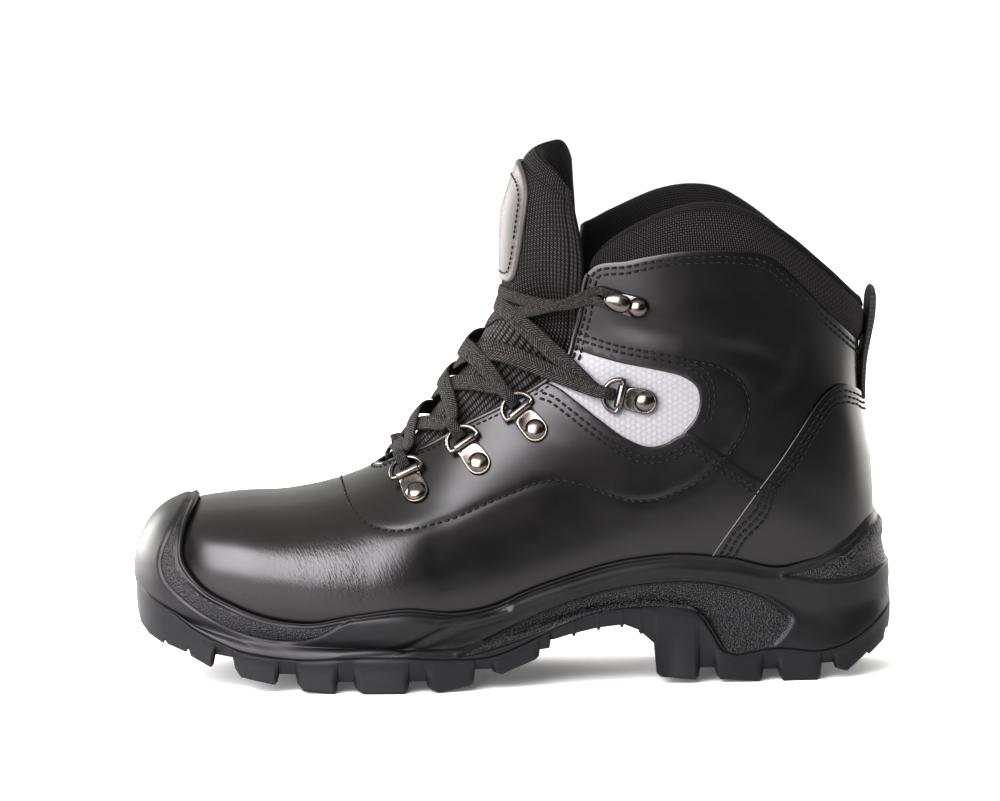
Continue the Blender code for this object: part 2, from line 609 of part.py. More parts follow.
def build_counter():
    """The heel counter: a leather overlay on the upper's own form, from the midsole rim to its slanted top edge."""
    columns = 5
    rows = np.array(COUNTER_EDGES)
    u = np.linspace(0, 1, 2 * len(rows) + 1)
    v = np.linspace(0, 1, columns)[None, :, None]
    knots = np.linspace(0, 1, len(rows) + 1)
    halves = []
    for side in (LATERAL, MEDIAL):
        edges = []
        for along, up, back in ((0, 1, BACK_RIB["rim_up"] + 1.2), (2, 3, COUNTER_BACK_TOP)):
            places = [locate(row[along], row[up], side) for row in rows]
            places = np.array([*places, (reach_where("bottom_up", back, feather_ends()[1]), math.pi)])
            edges.append(np.stack([smooth(u, knots, places[:, k]) for k in (0, 1)], 1))
        place = edges[0][:, None] * (1 - v) + edges[1][:, None] * v
        halves.append(form(place[..., 0], np.clip(place[..., 1], 0, math.pi), side))
    grid = np.concatenate([halves[0], halves[1][-2::-1]])
    outward = normals(grid, False)
    lift = 2.5 * GAP
    make("heel_counter", *slab(grid + outward * (lift + COUNTER_THICK), grid + outward * lift), LEATHER)


def build_pull_loop():
    """The pull loop: one strap, sewn up the back and folded down behind the collar."""
    line = np.array(PULL_LOOP_LINE)
    fine = np.linspace(0, len(line) - 1, 22)
    path = np.stack([smooth(fine, np.arange(len(line)), line[:, k]) for k in (0, 1)], 1)
    ahead = np.gradient(path, axis=0)
    ahead /= np.linalg.norm(ahead, axis=1, keepdims=True)
    sideways = np.stack([ahead[:, 1], -ahead[:, 0]], 1)
    across = np.array([-PULL_LOOP_HALF_WIDTH, 0, PULL_LOOP_HALF_WIDTH])

    def leaf(shift):
        moved = path + sideways * shift
        return np.stack([np.stack([moved[:, 0], np.full(len(moved), y), moved[:, 1]], 1) for y in across], 1)

    make("pull_loop", *slab(leaf(PULL_LOOP_STRAP / 2), leaf(-PULL_LOOP_STRAP / 2)), LEATHER)


def seat(along, up, towards, side):
    """A fastener's place on the form: point, outward normal, direction to its ring, and sideways."""
    reach, turn = locate(along, up, side)
    nudge = 0.5
    here = form(reach, turn, side)
    by_reach = form(reach + nudge, turn, side) - here
    by_turn = form(reach, turn + nudge / 60, side) - here
    normal = np.cross(by_reach, by_turn)
    normal /= np.linalg.norm(normal)
    normal *= np.sign(normal[1] * side)
    aim = form(*locate(*towards, side), side) - here
    ahead = aim - normal * (aim @ normal)
    ahead /= np.linalg.norm(ahead)
    return here, normal, ahead, np.cross(normal, ahead)


def plate_rings(length_ahead):
    """Rings of a riveted plate in its own frame: outline below and above, then the rivet's dome."""
    angle = np.linspace(0, 2 * math.pi, FASTENER_SIDES, endpoint=False)
    x, y = np.cos(angle), np.sin(angle)
    stretch = np.where(x > 0, length_ahead / PLATE_HALF_WIDTH, 1.0)
    plate = np.stack([x * PLATE_HALF_WIDTH * stretch, np.sign(y) * np.abs(y) ** 0.7 * PLATE_HALF_WIDTH, 0 * x], 1)
    rings = [plate, plate + [0, 0, PLATE_THICK]]
    for share, rise in ((1.0, 0.0), (0.92, 0.45), (0.7, 0.8), (0.35, 0.97)):
        dome = np.stack([x, y, 0 * x], 1) * RIVET_RADIUS * share
        rings.append(dome + [0, 0, PLATE_THICK + rise * RIVET_HEIGHT])
    return np.array(rings)


def place(local, frame):
    """Points in a fastener's frame (ahead, sideways, outward) put on the boot."""
    here, normal, ahead, sideways = frame
    local = np.asarray(local)
    return here + local[..., :1] * ahead + local[..., 1:2] * sideways + local[..., 2:] * normal


def build_fasteners():
    """On each side four riveted plates with wire rings, and a hook at the top."""
    for side, word in ((LATERAL, "lateral"), (MEDIAL, "medial")):
        for name, (rivet, target) in FASTENERS.items():
            frame = seat(*rivet, target, side)
            local_reach = 8.6 if name == "hook" else 6.2
            rings = plate_rings(local_reach) + [0, 0, PLATE_LIFT]
            if name == "hook":
                rings = hook_rings() + [0, 0, PLATE_LIFT]
                make(f"lace_hook_{word}", *loft(place(rings, frame)), METAL)
                continue
            make(f"{name}_plate_{word}", *loft(place(rings, frame)), METAL)
            bar = local_reach + RING_WIRE + GAP
            sweep = np.linspace(-0.5 * math.pi, 0.5 * math.pi, 9)
            bow = np.stack([
                bar + RING_REACH * np.cos(sweep), RING_HALF_WIDTH * np.sin(sweep), np.zeros(9),
            ], 1)
            straight = np.stack([np.full(2, bar), [RING_HALF_WIDTH * 0.4, -RING_HALF_WIDTH * 0.4], np.zeros(2)], 1)
            wire = np.concatenate([bow, straight]) + [0, 0, RING_WIRE + PLATE_LIFT + GAP]
            make(f"{name}_{word}", *loft(tube_rings(place(wire, frame), RING_WIRE, 5, True), closed=True), METAL)


def hook_rings():
    """Rings of a lace hook in its own frame: a long plate, then a rounded hood over its front."""
    angle = np.linspace(0, 2 * math.pi, FASTENER_SIDES, endpoint=False)
    x, y = np.cos(angle), np.sin(angle)
    rings = []
    for centre, long, wide, up in (
        (4.0, 9.0, 4.2, 0.0), (4.0, 9.0, 4.2, 1.0), (4.4, 8.6, 4.0, 2.2), (5.4, 7.0, 3.4, 3.8), (6.2, 4.6, 2.2, 4.6),
    ):
        rings.append(np.stack([centre + x * long, y * wide, np.full(FASTENER_SIDES, up)], 1))
    return np.array(rings)


def lace_run(start, end, lift):
    """A flat lace from one (reach, signed turn) place to another over the form: outer and inner grids."""
    t = np.linspace(0, 1, LACE_STEPS)
    reach = start[0] + (end[0] - start[0]) * t
    turn = start[1] + (end[1] - start[1]) * t
    side = np.where(turn < 0, LATERAL, MEDIAL)
    line = form(reach, np.abs(turn), side)
    ahead = np.gradient(line, axis=0)
    ahead /= np.linalg.norm(ahead, axis=1, keepdims=True)
    nudged = form(reach + 1, np.abs(turn), side) - line
    normal = np.cross(nudged, ahead)
    normal /= np.linalg.norm(normal, axis=1, keepdims=True)
    normal *= np.sign((normal * (line - line.mean(0) - [30, 0, -40])).sum())
    across = np.cross(ahead, normal)
    shift = np.array([-0.5, 0.5])[None, :, None] * LACE_WIDTH
    centre = line[:, None] + across[:, None] * shift + normal[:, None] * lift
    return centre + normal[:, None] * LACE_THICK, centre


def eyelet(name, side, slip):
    """Reach and signed turn beside a ring or hook, moved up or down the boot by a slip."""
    reach, turn = locate(*FASTENERS[name][1], side)
    return np.array([reach + slip, side * turn * 0.9])


def build_laces():
    """The laces: a bar at the lowest rings, a crossing between each pair of rings, and a bar at the hooks."""
    names = list(FASTENERS)
    for name, fastener, slip in (("lace_bar_low", names[0], -LACE_SLIP), ("lace_bar_top", names[-1], LACE_SLIP)):
        ends = eyelet(fastener, LATERAL, slip), eyelet(fastener, MEDIAL, slip)
        make(name, *slab(*lace_run(*ends, LACE_LIFT[name])), CORD)
    for number, (low, high) in enumerate(zip(names, names[1:]), 1):
        runs = []
        for word, side, lift in (("under", MEDIAL, 0.0), ("crossing", LATERAL, LACE_OVER)):
            ends = eyelet(low, side, LACE_SLIP), eyelet(high, -side, -LACE_SLIP)
            runs.append(make(f"lace_{word}_{number}", *slab(*lace_run(*ends, LACE_LIFT[number] + lift)), CORD))
        under, over = runs
        under.hide_render = True
        under.display_type = "WIRE"
        join = over.modifiers.new("join", "BOOLEAN")
        join.operation = "UNION"
        join.object = under


for old in list(bpy.data.objects):
    bpy.data.objects.remove(old)
BOOT = bpy.data.objects.new("boot", None)
bpy.context.scene.collection.objects.link(BOOT)
ORIGIN = sole_middle()
LEATHER = material("black leather", (0.012, 0.012, 0.013), 0.38)
TEXTILE = material("black textile", (0.012, 0.012, 0.013), 0.85)
SOLE = material("midsole", (0.020, 0.021, 0.023), 0.5)
RUBBER = material("tread rubber", (0.022, 0.023, 0.025), 0.6)
FOAM = material("insole foam", (0.03, 0.03, 0.032), 0.9)
METAL = material("gunmetal", (0.30, 0.28, 0.26), 0.3, 1.0)
CORD = material("lace", (0.028, 0.027, 0.024), 0.85)
build_upper()
build_midsole()
build_outsole()
build_insole()
build_tongue()
build_collar()
build_counter()
build_pull_loop()
build_fasteners()
build_laces()
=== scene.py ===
"""Looks of a left safety boot: leather panels, padded collar and tongue, moulded sole, hardware and laces.

Lengths are in millimetres. "Along" runs from the toe to the heel, "up" from the floor, and a place in the
side view is (along, up). The lateral side is -Y. A chart place is a point of the boot's form unrolled flat.
"""

import math

import bmesh
import bpy
import numpy as np
from mathutils import Matrix


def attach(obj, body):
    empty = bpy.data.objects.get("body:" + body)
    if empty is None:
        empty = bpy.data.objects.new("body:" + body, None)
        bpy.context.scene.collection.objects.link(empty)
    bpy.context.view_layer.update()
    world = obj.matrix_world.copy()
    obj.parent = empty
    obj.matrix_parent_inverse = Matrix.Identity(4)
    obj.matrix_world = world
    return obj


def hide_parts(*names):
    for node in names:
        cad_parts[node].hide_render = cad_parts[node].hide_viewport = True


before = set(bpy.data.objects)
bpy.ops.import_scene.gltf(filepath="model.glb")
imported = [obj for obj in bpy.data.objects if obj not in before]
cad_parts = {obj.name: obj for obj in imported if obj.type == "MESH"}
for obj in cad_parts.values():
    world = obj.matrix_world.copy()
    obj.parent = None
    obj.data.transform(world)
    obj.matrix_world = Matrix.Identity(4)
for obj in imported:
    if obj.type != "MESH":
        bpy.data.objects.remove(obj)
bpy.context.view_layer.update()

MM = 0.001
LATERAL = -1.0
MEDIAL = 1.0
SIDES = {"lateral": LATERAL, "medial": MEDIAL}

# Mesh fineness
HALF_RIBS = 250
RISE_STEPS = 92
WALL_STEPS = 44
LOWER_STEPS = 30
PLATE_SIDES = 40
RIVET_SIDES = 28
WIRE_SIDES = 14
# Points closer than this are one
MERGE = 0.002

# The last with its leather on: a row for each section, from the toe tip to above the collar
SECTION_COLUMNS = (
    "top_along", "top_up", "bottom_along", "bottom_up", "widest", "half_out", "half_in",
    "middle", "top_power", "bottom_power",
)
SECTIONS = {
    "toe tip": (6.0, 47.0, 6.0, 47.0, 0.50, 0.0, 0.0, 8.0, 2.3, 2.6),
    "toe front": (7.6, 56.5, 7.6, 38.5, 0.50, 14.0, 13.5, 8.0, 2.3, 2.6),
    "toe round": (12.0, 64.5, 12.0, 31.0, 0.50, 25.5, 24.0, 7.8, 2.3, 2.7),
    "toe cap": (22.0, 71.5, 22.0, 24.0, 0.49, 37.5, 34.5, 7.0, 2.3, 2.8),
    "toe cap back": (40.0, 75.1, 40.0, 18.0, 0.48, 47.0, 43.5, 5.5, 2.3, 3.0),
    "vamp": (64.0, 76.5, 64.0, 14.0, 0.46, 51.5, 48.5, 4.0, 2.2, 3.0),
    "ball": (87.0, 81.8, 88.0, 12.0, 0.42, 53.5, 50.5, 2.5, 2.1, 3.0),
    "throat": (104.0, 90.0, 112.0, 11.0, 0.40, 53.0, 48.5, 1.0, 2.0, 3.0),
    "lower instep": (117.0, 102.5, 140.0, 12.0, 0.38, 48.5, 43.5, 0.0, 2.0, 2.8),
    "instep": (131.0, 120.5, 174.0, 17.0, 0.38, 43.5, 40.0, -0.5, 2.0, 2.6),
    "upper instep": (142.0, 137.0, 214.0, 21.0, 0.42, 40.5, 39.0, 0.0, 2.0, 2.5),
    "ankle": (149.0, 149.0, 262.0, 23.0, 0.45, 39.0, 38.5, 0.0, 2.0, 2.4),
    "heel seat": (151.5, 156.0, 298.0, 36.0, 0.46, 38.5, 38.0, 0.0, 2.0, 2.4),
    "heel back": (152.0, 162.0, 301.2, 60.0, 0.46, 38.5, 38.5, 0.0, 2.0, 2.4),
    "counter top": (151.5, 169.0, 300.5, 88.0, 0.46, 39.0, 39.0, 0.0, 2.0, 2.3),
    "shaft": (151.0, 178.0, 297.4, 114.0, 0.45, 39.5, 39.5, 0.0, 2.0, 2.2),
    "shaft top": (150.5, 190.0, 297.4, 138.0, 0.45, 40.0, 40.0, 0.0, 2.0, 2.2),
    "collar": (151.5, 203.0, 299.8, 162.0, 0.45, 41.0, 41.0, 0.0, 2.0, 2.2),
    "above collar": (155.0, 219.0, 303.0, 190.0, 0.45, 41.0, 41.0, 0.0, 2.0, 2.2),
    "over the top": (158.0, 233.0, 305.6, 214.0, 0.45, 41.0, 41.0, 0.0, 2.0, 2.2),
}

# Heights along the boot, as (along, up)
FEATHER_EDGE = (
    (0, 40), (10, 36.5), (25, 30), (45, 25), (70, 21.5), (95, 21), (125, 22), (150, 26), (175, 31.5),
    (200, 35.5), (230, 37.5), (260, 38), (310, 38),
)
PARTING_LINE = (
    (-1, 42), (3, 40), (9, 35.5), (16, 31), (25, 25), (33, 21), (42, 17.5), (52, 15.5), (66, 14), (82, 14.5),
    (96, 15), (112, 14.5), (127, 13.5), (143, 14), (155, 18), (168, 24), (186, 30.5), (200, 32), (212, 32),
    (222, 30.5), (228, 28), (232, 22), (236, 15), (241, 12), (250, 12.5), (258, 13.5), (267, 13), (275, 12),
    (283, 13), (290, 15.5), (297, 19.5), (304, 25), (311, 31),
)
# The parting line stays this far under the feather edge
PARTING_CLEAR = 3.0
# How far the sole stands out past the feather edge, by the place along
SOLE_FLARE = ((0, 8.7), (25, 7.0), (60, 6.0), (150, 5.4), (200, 6.0), (265, 6.6), (290, 10.0), (310, 11.6))

# Ribs of the upper: foot on the feather edge, place on the midsole's rim, place on the throat or top edge
RIBS = (
    (10, 24.5, 70.5, 100.5, 87.5), (12, 22.5, 66.5, 102, 88), (16, 20.8, 61, 103.5, 88.8),
    (24, 20.8, 52, 106, 90), (34, 28, 42.5, 110, 92), (46, 43, 34.5, 115, 94.5), (68, 68, 28.8, 125, 100),
    (88, 88, 32, 136, 106.5), (108, 108, 34.5, 149, 113), (128, 128, 32.5, 160, 119),
    (142, 143, 34.5, 169.5, 125.5), (156, 157, 40, 177.5, 138), (168, 169, 44, 181, 152),
    (180, 181, 47.5, 183.5, 166), (200, 200, 51.5, 200, 171.5), (220, 220, 53, 222, 175),
    (240, 240, 51, 243, 175), (260, 260, 46.5, 258.5, 171), (274, 274, 49.5, 270, 160.5),
    (286, 286.5, 56.5, 281.5, 148.5), (294, 296, 63.5, 291.5, 139.5),
)
# Where the first rib meets the rim and the top edge along the ridge, and the last rib's heights at the heel
FRONT_RIB_ALONG = {"rim": 26.5, "top": 99.0}
BACK_RIB_UP = {"rim": 67.0, "top": 134.0, "collar": 151.0}
# Rim of the padded collar by the same rib feet, as (foot, rim_along, rim_up)
COLLAR_RIM = (
    (180, 184.5, 171.5), (190, 191, 179), (200, 200, 185), (220, 221, 193.5), (240, 239, 194),
    (260, 255, 187.5), (274, 267, 179.5), (286, 280, 168.5), (294, 291, 158.5),
)
COLLAR_START = 180.5
# How much higher the collar's rim is on the medial side, by the place along
MEDIAL_RISE = ((170, 9.5), (184, 9), (188, 6.5), (198, 4), (220, 3), (256, 3), (296, 0), (310, 0))

# Layers of the wall, measured outwards from the form
VAMP_LIFT = 0.35
ANKLE_LIFT = -0.25
PATCH_LIFT = -0.85
PATCH_EDGE_ROUND = 0.2
COUNTER_LIFT = 1.3
COUNTER_BACK = VAMP_LIFT - 0.4
LEATHER_BACK = -1.45
WALL_VAMP = 2.6
WALL_SHAFT = 4.0

# Lines of the leather in the side view
VAMP_TOP = (
    (163, 118.5), (166, 122), (171, 120.2), (178, 115), (188, 107), (198, 99.8), (207, 96.3), (214, 97.2),
    (219.5, 100.4), (224.5, 101.4), (231, 97.4), (240, 90.8), (251, 83.5), (262, 78), (280, 72), (330, 66),
)
ANKLE_FOOT = (
    (172, 138.6), (178, 136.6), (184, 134.6), (196, 131.2), (212, 128), (222, 125.2), (227.4, 120.8),
    (228.6, 114.5), (226.5, 107.6), (221.5, 101.6), (216, 93), (236, 84), (250, 76), (262, 70), (330, 58),
)
PATCH_EDGE = (
    (160, 116), (166, 128), (173, 141), (184, 139.5), (197, 136), (213, 133), (226, 130), (234, 122),
    (234.5, 111), (228, 99), (217, 91), (206, 89), (196, 92), (184, 100), (174, 108),
)
COUNTER_EDGE = (
    (229, 44), (234, 53), (243, 66), (252, 78.5), (260, 89), (268, 100.5), (275, 110.5), (280, 116),
    (286, 119.2), (292, 117.6), (299, 113.2), (308, 112.6),
)
VAMP_LINE = (
    (84.4, 81.2), (86.2, 76.8), (89.8, 71), (96, 66.8), (105.5, 65.4), (123, 68.4), (147, 77.6), (165, 83.8),
    (179, 82.6), (192, 77.4), (203, 75), (214, 76.6), (224, 80.8), (233, 88), (241, 95), (246.4, 104),
    (248, 114), (245.4, 121.4), (239, 127), (231, 130.2), (222, 131.6),
)

# Lace hardware in the side view: rivet, then the middle of the ring or hook that it holds
FASTENERS = {
    "ring_1": ((114.0, 79.5), (109.5, 89.5)),
    "ring_2": ((139.0, 91.0), (132.0, 100.5)),
    "ring_3": ((162.0, 104.0), (154.5, 113.0)),
    "ring_4": ((206.0, 115.0), (193.5, 118.0)),
    "hook": ((203.5, 153.0), (195.5, 155.5)),
}
PLATE_LIFT = 0.9
PLATE_HALF_WIDTH = 5.0
PLATE_AHEAD = 8.8
RING_WIRE = 0.95
RING_HALF_WIDTH = 6.6
RING_REACH = 6.8
RING_BAR = PLATE_AHEAD + RING_WIRE + 0.3
RING_UP = RING_WIRE + PLATE_LIFT + 0.3


# Small helpers

def unit(vectors):
    """Vectors scaled to length one."""
    return vectors / np.maximum(np.linalg.norm(vectors, axis=-1, keepdims=True), 1e-9)


def travelled(points):
    """The distance run along a line, at each of its points."""
    return np.concatenate([[0.0], np.cumsum(np.linalg.norm(np.diff(points, axis=0), axis=1))])


def turns_round(count):
    """Angles once round, evenly spaced."""
    return np.linspace(0, 2 * math.pi, count, endpoint=False)


def powered(values, power):
    """Values raised to a power, with their signs kept."""
    return np.sign(values) * np.abs(values) ** power


def hump(values, width):
    """1 at zero, falling smoothly towards 0 over a width on both sides."""
    return np.exp(-((values / width) ** 2))


def ramp(values, start, width):
    """From 0 at a start to 1 a width further on, or a width further back if it is negative."""
    return np.clip((values - start) / width, 0, 1)


def eased(t):
    """A share of the way with a soft start and end."""
    return t * t * (3 - 2 * t)


def grid_uv(u, v):
    """UV places for a grid of points, from two arrays that spread over each other."""
    return np.stack(np.broadcast_arrays(u, v), -1).reshape(-1, 2)


# The boot's form

def smooth(at, knots, values):
    """A cubic through the knots, with the slope at each from its neighbours."""
    knots = np.asarray(knots, float)
    values = np.asarray(values, float)
    at = np.clip(np.asarray(at, float), knots[0], knots[-1])
    slope = np.gradient(values, knots)
    i = np.clip(np.searchsorted(knots, at) - 1, 0, len(knots) - 2)
    step = knots[i + 1] - knots[i]
    t = (at - knots[i]) / step
    rise = slope[i] * t * (1 - t) ** 2 - slope[i + 1] * t * t * (1 - t)
    return values[i] + (values[i + 1] - values[i]) * eased(t) + step * rise


def height(table, along):
    """The height that a table of (along, up) rows gives."""
    return smooth(along, *np.array(table, float).T)


def section_knots():
    """Distance along the sections, and each column with a mirrored row in front of the toe tip."""
    rows = {name: np.array(column) for name, column in zip(SECTION_COLUMNS, zip(*SECTIONS.values()))}
    top = np.stack([rows["top_along"], rows["top_up"]], 1)
    bottom = np.stack([rows["bottom_along"], rows["bottom_up"]], 1)
    steps = np.linalg.norm(np.diff(top, axis=0), axis=1) + np.linalg.norm(np.diff(bottom, axis=0), axis=1)
    reach = np.concatenate([[0.0], np.cumsum(steps / 2)])
    mirrored = {"top_along": "bottom_along", "top_up": "bottom_up"}
    mirrored.update({bottom: top for top, bottom in mirrored.items()})
    columns = {}
    for name in SECTION_COLUMNS:
        front = rows[mirrored.get(name, name)][1]
        front = -front if name.startswith("half") else front
        columns[name] = np.concatenate([[front], rows[name]])
    return np.concatenate([[-reach[1]], reach]), columns


REACH, COLUMN = section_knots()


def form(reach, turn, side):
    """Points of the boot's outer form: turn is 0 on the ridge, pi under the sole or at the heel's back."""
    value = {name: smooth(reach, REACH, COLUMN[name]) for name in SECTION_COLUMNS}
    up = np.cos(turn)
    out = np.abs(np.sin(turn))
    power = np.where(up >= 0, value["top_power"], value["bottom_power"])
    radius = (np.abs(up) ** power + out**power) ** (-1 / power)
    span = np.where(up >= 0, 1 - value["widest"], value["widest"])
    share = value["widest"] + span * radius * up
    half = np.where(np.asarray(side) < 0, value["half_out"], value["half_in"])
    along = value["bottom_along"] + share * (value["top_along"] - value["bottom_along"])
    rise = value["bottom_up"] + share * (value["top_up"] - value["bottom_up"])
    return np.stack([along, value["middle"] + np.sign(side) * half * radius * out, rise], -1)


SEARCH_REACH, SEARCH_TURN = np.meshgrid(
    np.linspace(0.5, REACH[-1], 500), np.linspace(0, math.pi, 160), indexing="ij"
)
SEARCH_POINTS = {side: form(SEARCH_REACH, SEARCH_TURN, side) for side in SIDES.values()}


def locate(along, up, side):
    """Reach and turn of the place on one side of the form that shows at (along, up) in the side view."""
    points = SEARCH_POINTS[side]
    i, j = np.unravel_index(
        np.argmin((points[..., 0] - along) ** 2 + (points[..., 2] - up) ** 2), SEARCH_REACH.shape
    )
    best = np.array([SEARCH_REACH[i, j], SEARCH_TURN[i, j]])
    nudge = np.array([0.2, 0.005])
    for _ in range(6):
        here = form(best[0], best[1], side)[[0, 2]]
        by_reach = (form(best[0] + nudge[0], best[1], side)[[0, 2]] - here) / nudge[0]
        by_turn = (form(best[0], best[1] + nudge[1], side)[[0, 2]] - here) / nudge[1]
        step = np.linalg.lstsq(np.stack([by_reach, by_turn], 1), np.array([along, up]) - here, rcond=1e-3)[0]
        best = best + np.clip(step, [-4, -0.08], [4, 0.08])
        best[1] = np.clip(best[1], 0, math.pi)
    return best


def reach_where(column, value, start):
    """The distance along the sections, past start, where a column first passes a value."""
    grid = np.linspace(start, REACH[-1], 4000)
    return grid[np.argmax(smooth(grid, REACH, COLUMN[column]) >= value)]


def feather_turn(reach, side):
    """The turn at which each section crosses the feather edge."""
    low = np.full(np.shape(reach), 0.35 * math.pi)
    high = np.full(np.shape(reach), math.pi)
    for _ in range(40):
        middle = (low + high) / 2
        point = form(reach, middle, side)
        above = point[..., 2] > height(FEATHER_EDGE, point[..., 0])
        low = np.where(above, middle, low)
        high = np.where(above, high, middle)
    return (low + high) / 2


def feather_ends():
    """Distances along the sections where the feather edge crosses the boot's middle, at toe and heel."""
    grid = np.linspace(0.5, REACH[-1], 4000)
    point = form(grid, math.pi, LATERAL)
    below = np.flatnonzero(point[:, 2] < height(FEATHER_EDGE, point[:, 0]))
    return grid[below[0]], grid[below[-1]]


def chart_at(reach, turn):
    """Places of the form's flat chart: polar about the toe tip, with negative turns on the lateral side."""
    return np.stack([reach * np.cos(turn), reach * np.sin(turn)], -1)


def on_form(chart):
    """Points of the form from its flat chart."""
    reach = np.maximum(np.hypot(chart[..., 0], chart[..., 1]), 1e-6)
    side = np.where(chart[..., 1] < 0, LATERAL, MEDIAL)
    return form(reach, np.arctan2(np.abs(chart[..., 1]), chart[..., 0]), side)


def surface(chart):
    """Points of the form at chart places, outward normals, and how points move with the chart's X and Y."""
    nudge = 0.25
    by_x = (on_form(chart + [nudge, 0]) - on_form(chart - [nudge, 0])) / (2 * nudge)
    by_y = (on_form(chart + [0, nudge]) - on_form(chart - [0, nudge])) / (2 * nudge)
    return on_form(chart), unit(np.cross(by_x, by_y)), by_x, by_y


def rib_share():
    """Spacing of the ribs from toe to heel: closer at both ends."""
    t = np.linspace(0, 1, HALF_RIBS + 1)
    return 0.35 * t + 0.65 * (1 - np.cos(math.pi * t)) / 2


def half_loops(side):
    """Chart places of the feather edge, midsole rim, leather top and collar rim on one side, rib by rib."""
    start, end = feather_ends()
    reach = start + (end - start) * rib_share()
    turn = feather_turn(reach, side)
    turn[[0, -1]] = math.pi
    edge = form(reach, turn, side)
    foot = edge[:, 0]
    travel = travelled(edge)
    loops = {"feather": chart_at(reach, side * turn), "foot": foot}
    ribs = np.array(RIBS)
    ends = {"collar": (0.0, reach_where("bottom_up", BACK_RIB_UP["collar"], end))}
    for name, along in FRONT_RIB_ALONG.items():
        ends[name] = reach_where("top_along", along, 1), reach_where("bottom_up", BACK_RIB_UP[name], end)
    rows = {"rim": ribs[:, [0, 1, 2]], "top": ribs[:, [0, 3, 4]], "collar": np.array(COLLAR_RIM)}
    for name, table in rows.items():
        found = np.array([locate(along, up, side) for _, along, up in table])
        knots = np.concatenate([[0.0], np.interp(table[:, 0], foot, travel), [travel[-1]]])
        places = np.concatenate([[(ends[name][0], 0.0)], found, [(ends[name][1], math.pi)]])
        found_turn = np.clip(smooth(travel, knots, places[:, 1]), 0, math.pi)
        loops[name] = chart_at(smooth(travel, knots, places[:, 0]), side * found_turn)
    return loops


HALVES = {side: half_loops(side) for side in SIDES.values()}


def full_loop(name):
    """A loop right round the boot: toe to heel on the lateral side, then back on the medial side."""
    return np.concatenate([HALVES[LATERAL][name], HALVES[MEDIAL][name][-2:0:-1]])


FOOT = full_loop("foot")


def rib_grid(first, second, shares):
    """Chart places between two loops: a row for each rib, a column for each share of the way."""
    t = np.asarray(shares, float)[None, :, None]
    return full_loop(first)[:, None] * (1 - t) + full_loop(second)[:, None] * t


WALL_SHARE = np.linspace(0, 1, WALL_STEPS + 1)
WALL, WALL_NORMAL = surface(rib_grid("feather", "rim", WALL_SHARE))[:2]


# The sole's outline

def outline():
    """The sole's plan outline, right round: the feather edge moved out by the flare."""
    outward = unit(WALL_NORMAL[:, 0] * [1, 1, 0])
    return WALL[:, 0] + outward * height(SOLE_FLARE, WALL[:, 0, 0])[:, None]


def across_ribs(loop):
    """A loop right round the boot as two rows of ribs, lateral and medial, toe to heel."""
    half = len(loop) // 2
    return loop[: half + 1], np.concatenate([loop[:1], loop[-1 : half - 1 : -1]])


def across_at(along, half):
    """How far across one half of a plan outline lies, by the place along."""
    order = np.argsort(half[:, 0])
    return np.interp(along, half[order, 0], half[order, 1])


def sole_base():
    """The lower edge of the midsole on the outline, right round."""
    loop = outline()
    places = loop[:, 0].min() + (loop[:, 0].max() - loop[:, 0].min()) * rib_share()
    edges = []
    for half in across_ribs(loop):
        up = np.minimum(height(PARTING_LINE, places), height(FEATHER_EDGE, places) - PARTING_CLEAR)
        edges.append(np.stack([places, across_at(places, half), up], 1))
    return np.concatenate([edges[0], edges[1][-2:0:-1]])


SOLE_BASE = sole_base()
# The solid model's origin in these lengths
ORIGIN = np.array([155.245, 0.419, 0.0])


# Meshes

def make(name, points, faces, finish, slot, nodes=(), uv=None, marks=None, sharp=None, tidy=True):
    """A piece from points in millimetres, riding on the boot and standing for the named solids."""
    mesh = bpy.data.meshes.new(name)
    placed = (np.asarray(points, float) - ORIGIN) * MM
    mesh.from_pydata(placed.tolist(), [], [tuple(int(i) for i in face) for face in faces])
    for key, values in (marks or {}).items():
        layer = mesh.attributes.new(key, "FLOAT", "POINT")
        layer.data.foreach_set("value", np.ascontiguousarray(values, np.float32).ravel())
    if uv is not None:
        corner = np.zeros(len(mesh.loops), np.int32)
        mesh.loops.foreach_get("vertex_index", corner)
        layer = mesh.uv_layers.new(name="weave")
        layer.data.foreach_set("uv", np.asarray(uv, np.float32)[corner].ravel())
    if tidy:
        shape = bmesh.new()
        shape.from_mesh(mesh)
        bmesh.ops.remove_doubles(shape, verts=shape.verts, dist=MERGE * MM)
        bmesh.ops.dissolve_degenerate(shape, edges=shape.edges, dist=MERGE * MM)
        bmesh.ops.recalc_face_normals(shape, faces=shape.faces)
        shape.to_mesh(mesh)
        shape.free()
    mesh.shade_smooth()
    if sharp:
        mesh.set_sharp_from_angle(angle=math.radians(sharp))
    mesh.materials.append(finish)
    made = bpy.data.objects.new(name, mesh)
    bpy.context.scene.collection.objects.link(made)
    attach(made, "root")
    if nodes:
        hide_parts(*nodes)
    return made


def quads(index):
    """Faces of a grid of point numbers."""
    return np.stack([index[:-1, :-1], index[1:, :-1], index[1:, 1:], index[:-1, 1:]], -1).reshape(-1, 4)


def slab(outer, inner, wrap=False):
    """Points and faces of a sheet between two grids, its rows closed into a ring if wrap is set."""
    rows, columns = outer.shape[:2]
    index = np.arange(rows * columns).reshape(rows, columns)
    if wrap:
        index = np.concatenate([index, index[:1]])
    back = index + rows * columns
    faces = [quads(index), quads(back)[:, ::-1]]
    borders = [(index[:, 0], back[:, 0]), (back[:, -1], index[:, -1])]
    if not wrap:
        borders += [(back[0], index[0]), (index[-1], back[-1])]
    for near, far in borders:
        faces.append(np.stack([near[:-1], far[:-1], far[1:], near[1:]], -1))
    return np.concatenate([outer.reshape(-1, 3), inner.reshape(-1, 3)]), np.concatenate(faces)


